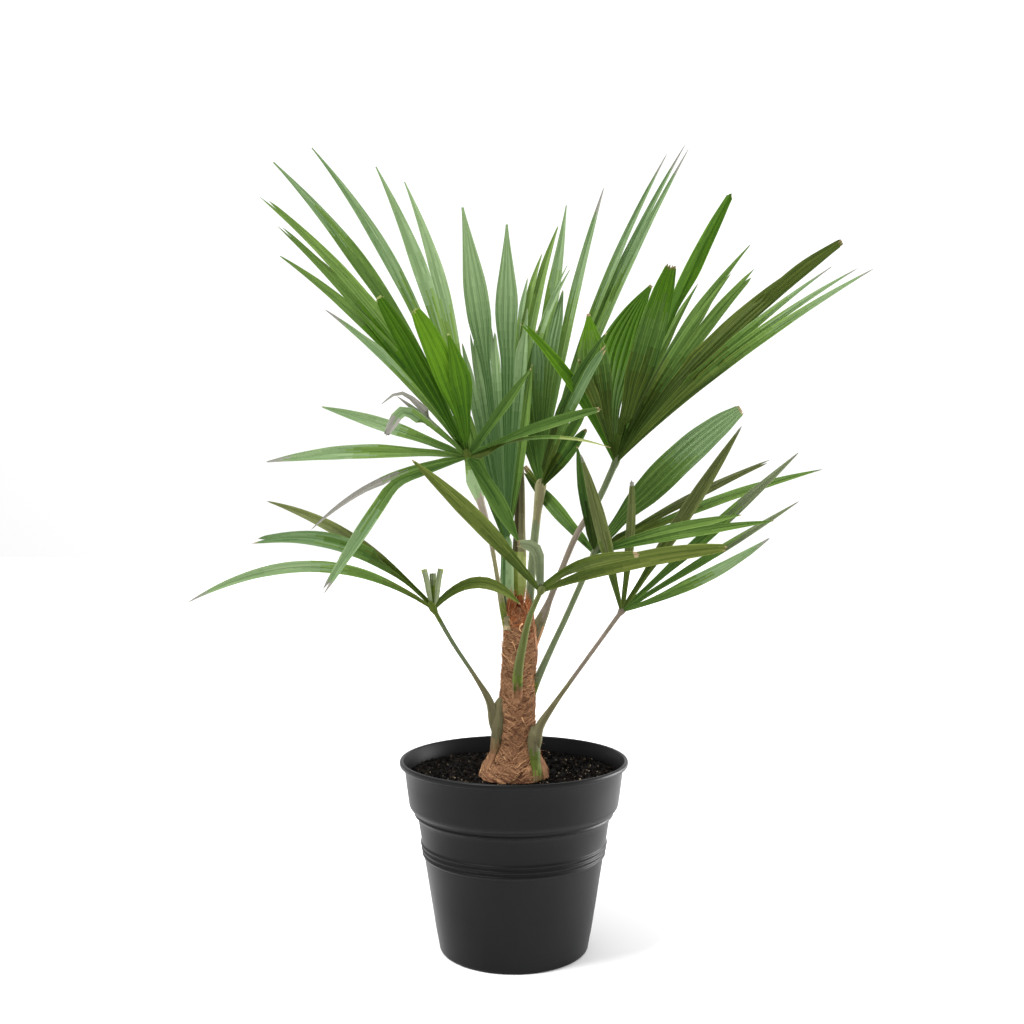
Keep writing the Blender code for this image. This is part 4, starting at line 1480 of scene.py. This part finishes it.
def make_soil_body():
    """The soil in the pot, from its flat bottom to its rough surface."""
    pile = Pile()
    rng = random.Random(51)
    rows = []
    for z in (FLOOR_TOP + SOIL_GAP, INNER_STEP_FOOT, INNER_STEP_TOP, SOIL_FOOT):
        radius = wall_inside(z) - SOIL_GAP
        rows.append(pile.ring(SOIL_SIDES, lambda angle: around(radius, angle, z)))
    outer = wall_inside(SOIL_EDGE) - 2 * SOIL_GAP
    for i in range(SOIL_RINGS):
        r = outer * (1 - i / SOIL_RINGS) ** 0.8
        rows.append(pile.ring(SOIL_SIDES, lambda angle: around(r, angle, soil_height(r, angle))))
    pile.skin(rows, lambda j, k: shade("crumb", rng.uniform(-0.4, 0.7)))
    pile.cap(rows[0][::-1], shade("crumb", 0))
    pile.cap(rows[-1], shade("crumb", 0))
    return pile.build("soil_body", "soil", "soil", crease=70)


def crumb(pile, rng, centre, size, material):
    """A lump of eight faces, each of its six corners pushed in or out."""
    corners = []
    for axis in range(3):
        for sign in (-1, 1):
            place = Vector((0, 0, 0))
            place[axis] = sign * size * rng.uniform(0.45, 1.1)
            for other in range(3):
                place[other] += rng.uniform(-0.2, 0.2) * size
            corners.append(pile.point(centre + place, (rng.random(), rng.random(), 0.0)))
    for x in (0, 1):
        for y in (2, 3):
            for z in (4, 5):
                order = (x, y, z) if (x + y + z) % 2 else (x, z, y)
                pile.face(tuple(corners[n] for n in order), material)


def make_crumbs():
    rng = random.Random(61)
    pile = Pile()
    outer = wall_inside(SOIL_EDGE) - 3.0
    for _ in range(CRUMB_COUNT):
        angle = rng.uniform(0, 2 * math.pi)
        r = outer * math.sqrt(rng.uniform(0.05, 1.0))
        size = rng.uniform(*CRUMB_SIZES) * rng.uniform(0.5, 1.0)
        pale = rng.random()
        level = rng.uniform(*CRUMB_SHADES)
        if pale > BROWN_FROM:
            level = rng.uniform(*BROWN_SHADES)
        if pale > SPECK_FROM - 0.04 * math.cos(angle):
            level = rng.uniform(*SPECK_SHADES)
            size = min(size, SPECK_SIZE)
        centre = around(r, angle, soil_height(r, angle) + 0.25 * size)
        crumb(pile, rng, centre, size, shade("crumb", level))
    return pile.build("soil_crumbs", "soil", "soil", crease=20)


def body_radius(z):
    return BODY_FOOT_R + BODY_TAPER * z


def arc(centre, radius, start, end, steps):
    """Points of (radius, height) on an arc, in degrees from outwards towards up."""
    points = []
    for i in range(steps + 1):
        angle = math.radians(start + (end - start) * i / steps)
        points.append((centre[0] + radius * math.cos(angle), centre[1] + radius * math.sin(angle)))
    return points


def pot_profile():
    """The wall's outline from the middle of the floor, up the inside, over the rim and down the outside."""
    heights = (FLOOR_TOP, 6, 30, 60, 90, 120, INNER_STEP_FOOT, 133, 137, INNER_STEP_TOP, 150, 160)
    inside = [(0.0, FLOOR_TOP)] + [(wall_inside(z), z) for z in (*heights, RIM_FOOT)]
    rim = arc(((MOUTH_R + RIM_R) / 2, RIM_TOP - BEAD), BEAD, 180, 0, 8)
    rim += arc((RIM_R - BEAD, RIM_FOOT + BEAD), BEAD, 0, -90, 5)
    collar = [(COLLAR_TOP_R + 0.6, RIM_FOOT - 0.1), (COLLAR_TOP_R, RIM_FOOT - 1.0)]
    collar += [(COLLAR_MIDDLE_R, COLLAR_MIDDLE)]
    collar += arc((COLLAR_FOOT_R - SHOULDER_ROUND, COLLAR_FOOT), SHOULDER_ROUND, 0, -50, 8)
    body = body_radius(BODY_TOP)
    lip = [(body + out, BODY_TOP + up) for out, up in LIP]
    ribs = []
    steps = RIB_STEPS * RIB_COUNT
    for i in range(steps + 1):
        z = RIB_TOP - RIB_PITCH * RIB_COUNT * i / steps
        ribs.append((body_radius(z) + RIB_RELIEF * 0.5 * (1 - math.cos(2 * math.pi * i / RIB_STEPS)), z))
    foot = [(body_radius(50), 50.0), (body_radius(20), 20.0)]
    foot += arc((body_radius(0) - FOOT_ROUND, FOOT_ROUND), FOOT_ROUND, 5, -90, 5)
    under = [(FOOT_RING_R, 0.0), (FOOT_RING_R - 1.5, RECESS), (CENTRE_DISC_R + 1.5, RECESS)]
    under += [(CENTRE_DISC_R, 0.0), (0.0, 0.0)]
    return inside + rim + collar + lip + ribs + foot + under


def pot_plastic():
    """Charcoal satin plastic with a faint moulded grain and soft scuffs."""
    finish = Finish("pot_plastic", linear((18, 18, 19), 1.0), roughness=0.4, specular=0.14)
    scuffs = finish.pattern(finish.coordinate(None, scale=(18.0, 18.0, 7.0)), detail=5.0)
    finish.gloss(scuffs, low=0.34, high=0.46)
    finish.tint(scuffs, dark=linear((13, 13, 14), 1.0), light=linear((19, 19, 20), 1.0))
    grain = finish.pattern(finish.coordinate(None, scale=(1400.0, 1400.0, 1400.0)), detail=2.0)
    finish.relief(grain, strength=0.12, distance=0.0002)
    return finish.material


PLASTIC = pot_plastic()


def lathe(pile, profile, sides, material):
    """Turns a profile of (radius, height) about the Z axis. Its ends lie on the axis."""
    rows = [pile.ring(sides, lambda angle: around(r, -angle, z)) for r, z in profile[1:-1]]
    pile.skin(rows, lambda j, k: material)
    pile.cap(rows[0][::-1], material)
    pile.cap(rows[-1], material)


def drain_pegs():
    """Pegs in the places of the drain holes."""
    pile = Pile()
    for i in range(DRAIN_COUNT):
        centre = around(1, 2 * math.pi * (i + 0.5) / DRAIN_COUNT, 0) * DRAIN_CIRCLE_R
        rows = []
        for z in (-2.0, FLOOR_TOP + 2.0):
            middle = centre + UP * z
            rows.append(pile.ring(DRAIN_SIDES, lambda angle: middle + around(1, angle, 0) * DRAIN_R))
        pile.skin(rows, lambda j, k: PLASTIC)
        pile.cap(rows[0][::-1], PLASTIC)
        pile.cap(rows[-1], PLASTIC)
    return pile


def make_pot():
    """The pot's wall, with its drain holes cut out."""
    shell = Pile()
    lathe(shell, pot_profile(), POT_SIDES, PLASTIC)
    pot = shell.build("pot_shell", "pot_plastic", "pot", crease=35)
    pegs = put("pegs", drain_pegs().mesh("pegs", crease=35))
    cut = pot.modifiers.new("drain_holes", "BOOLEAN")
    cut.operation = "DIFFERENCE"
    cut.solver = "EXACT"
    cut.object = pegs
    bpy.context.view_layer.update()
    cut_mesh = bpy.data.meshes.new_from_object(pot.evaluated_get(bpy.context.evaluated_depsgraph_get()))
    pot.modifiers.remove(cut)
    pot.data = cut_mesh
    bpy.data.objects.remove(pegs)
    return pot


def make_camera():
    data = bpy.data.cameras.new("camera")
    data.sensor_width = SENSOR
    data.lens = SENSOR * FOCAL_PX / FRAME_PX
    data.clip_start = 0.05
    camera = put("camera", data)
    camera.location = CAMERA_AT
    camera.rotation_euler = (math.pi / 2, 0.0, 0.0)
    bpy.context.scene.camera = camera


def make_sky():
    """White surroundings that are brighter above, behind the plant and at its right."""
    world = bpy.data.worlds.new("studio")
    world.use_nodes = True
    nodes, links = world.node_tree.nodes, world.node_tree.links
    background = nodes["Background"]
    background.inputs["Color"].default_value = (1.0, 1.0, 1.0, 1.0)
    direction = nodes.new("ShaderNodeTexCoord")
    turn = nodes.new("ShaderNodeVectorMath")
    turn.operation = "DOT_PRODUCT"
    turn.inputs[1].default_value = SKY_TURN
    links.new(direction.outputs["Generated"], turn.inputs[0])
    level = nodes.new("ShaderNodeMath")
    level.operation = "ADD"
    level.inputs[1].default_value = SKY_MIDDLE
    links.new(turn.outputs["Value"], level.inputs[0])
    links.new(level.outputs["Value"], background.inputs["Strength"])
    bpy.context.scene.world = world
    bpy.context.scene.view_settings.view_transform = "Standard"


def add_light(name, kind, place, target):
    data = bpy.data.lights.new(name, kind)
    lamp = put(name, data)
    lamp.location = place
    lamp.rotation_euler = (Vector(place) - Vector(target)).to_track_quat("Z", "Y").to_euler()
    return data


def make_lights():
    key = add_light("key", "SUN", KEY_FROM, (0.0, 0.0, 0.0))
    key.energy = KEY_STRENGTH
    key.angle = math.radians(KEY_SIZE)
    side = add_light("side", "AREA", SIDE_AT, (0.0, 0.0, 0.2))
    side.shape = "RECTANGLE"
    side.size, side.size_y = SIDE_SIZE
    side.energy = SIDE_POWER


def make_floor():
    mesh = bpy.data.meshes.new("floor")
    reach = FLOOR_REACH
    corners = [(-reach, -reach, 0), (reach, -reach, 0), (reach, reach, 0), (-reach, reach, 0)]
    mesh.from_pydata(corners, [], [(0, 1, 2, 3)])
    finish = Finish("floor_paper", linear((252, 252, 252), 1.0), roughness=0.9, specular=0.1)
    tooth = finish.pattern(finish.coordinate(None, scale=(60.0, 60.0, 60.0)), detail=2.0)
    finish.relief(tooth, strength=0.02, distance=0.0005)
    mesh.materials.append(finish.material)
    floor = put("floor", mesh)


def main():
    make_camera()
    make_sky()
    make_lights()
    make_floor()
    make_pot()
    make_soil_body()
    make_crumbs()
    make_trunk_body()
    make_bands()
    make_fibres()
    for number, frond in enumerate(FRONDS):
        make_stalk(frond, 100 + number)
        Fan(frond, 200 + number).build()


main()
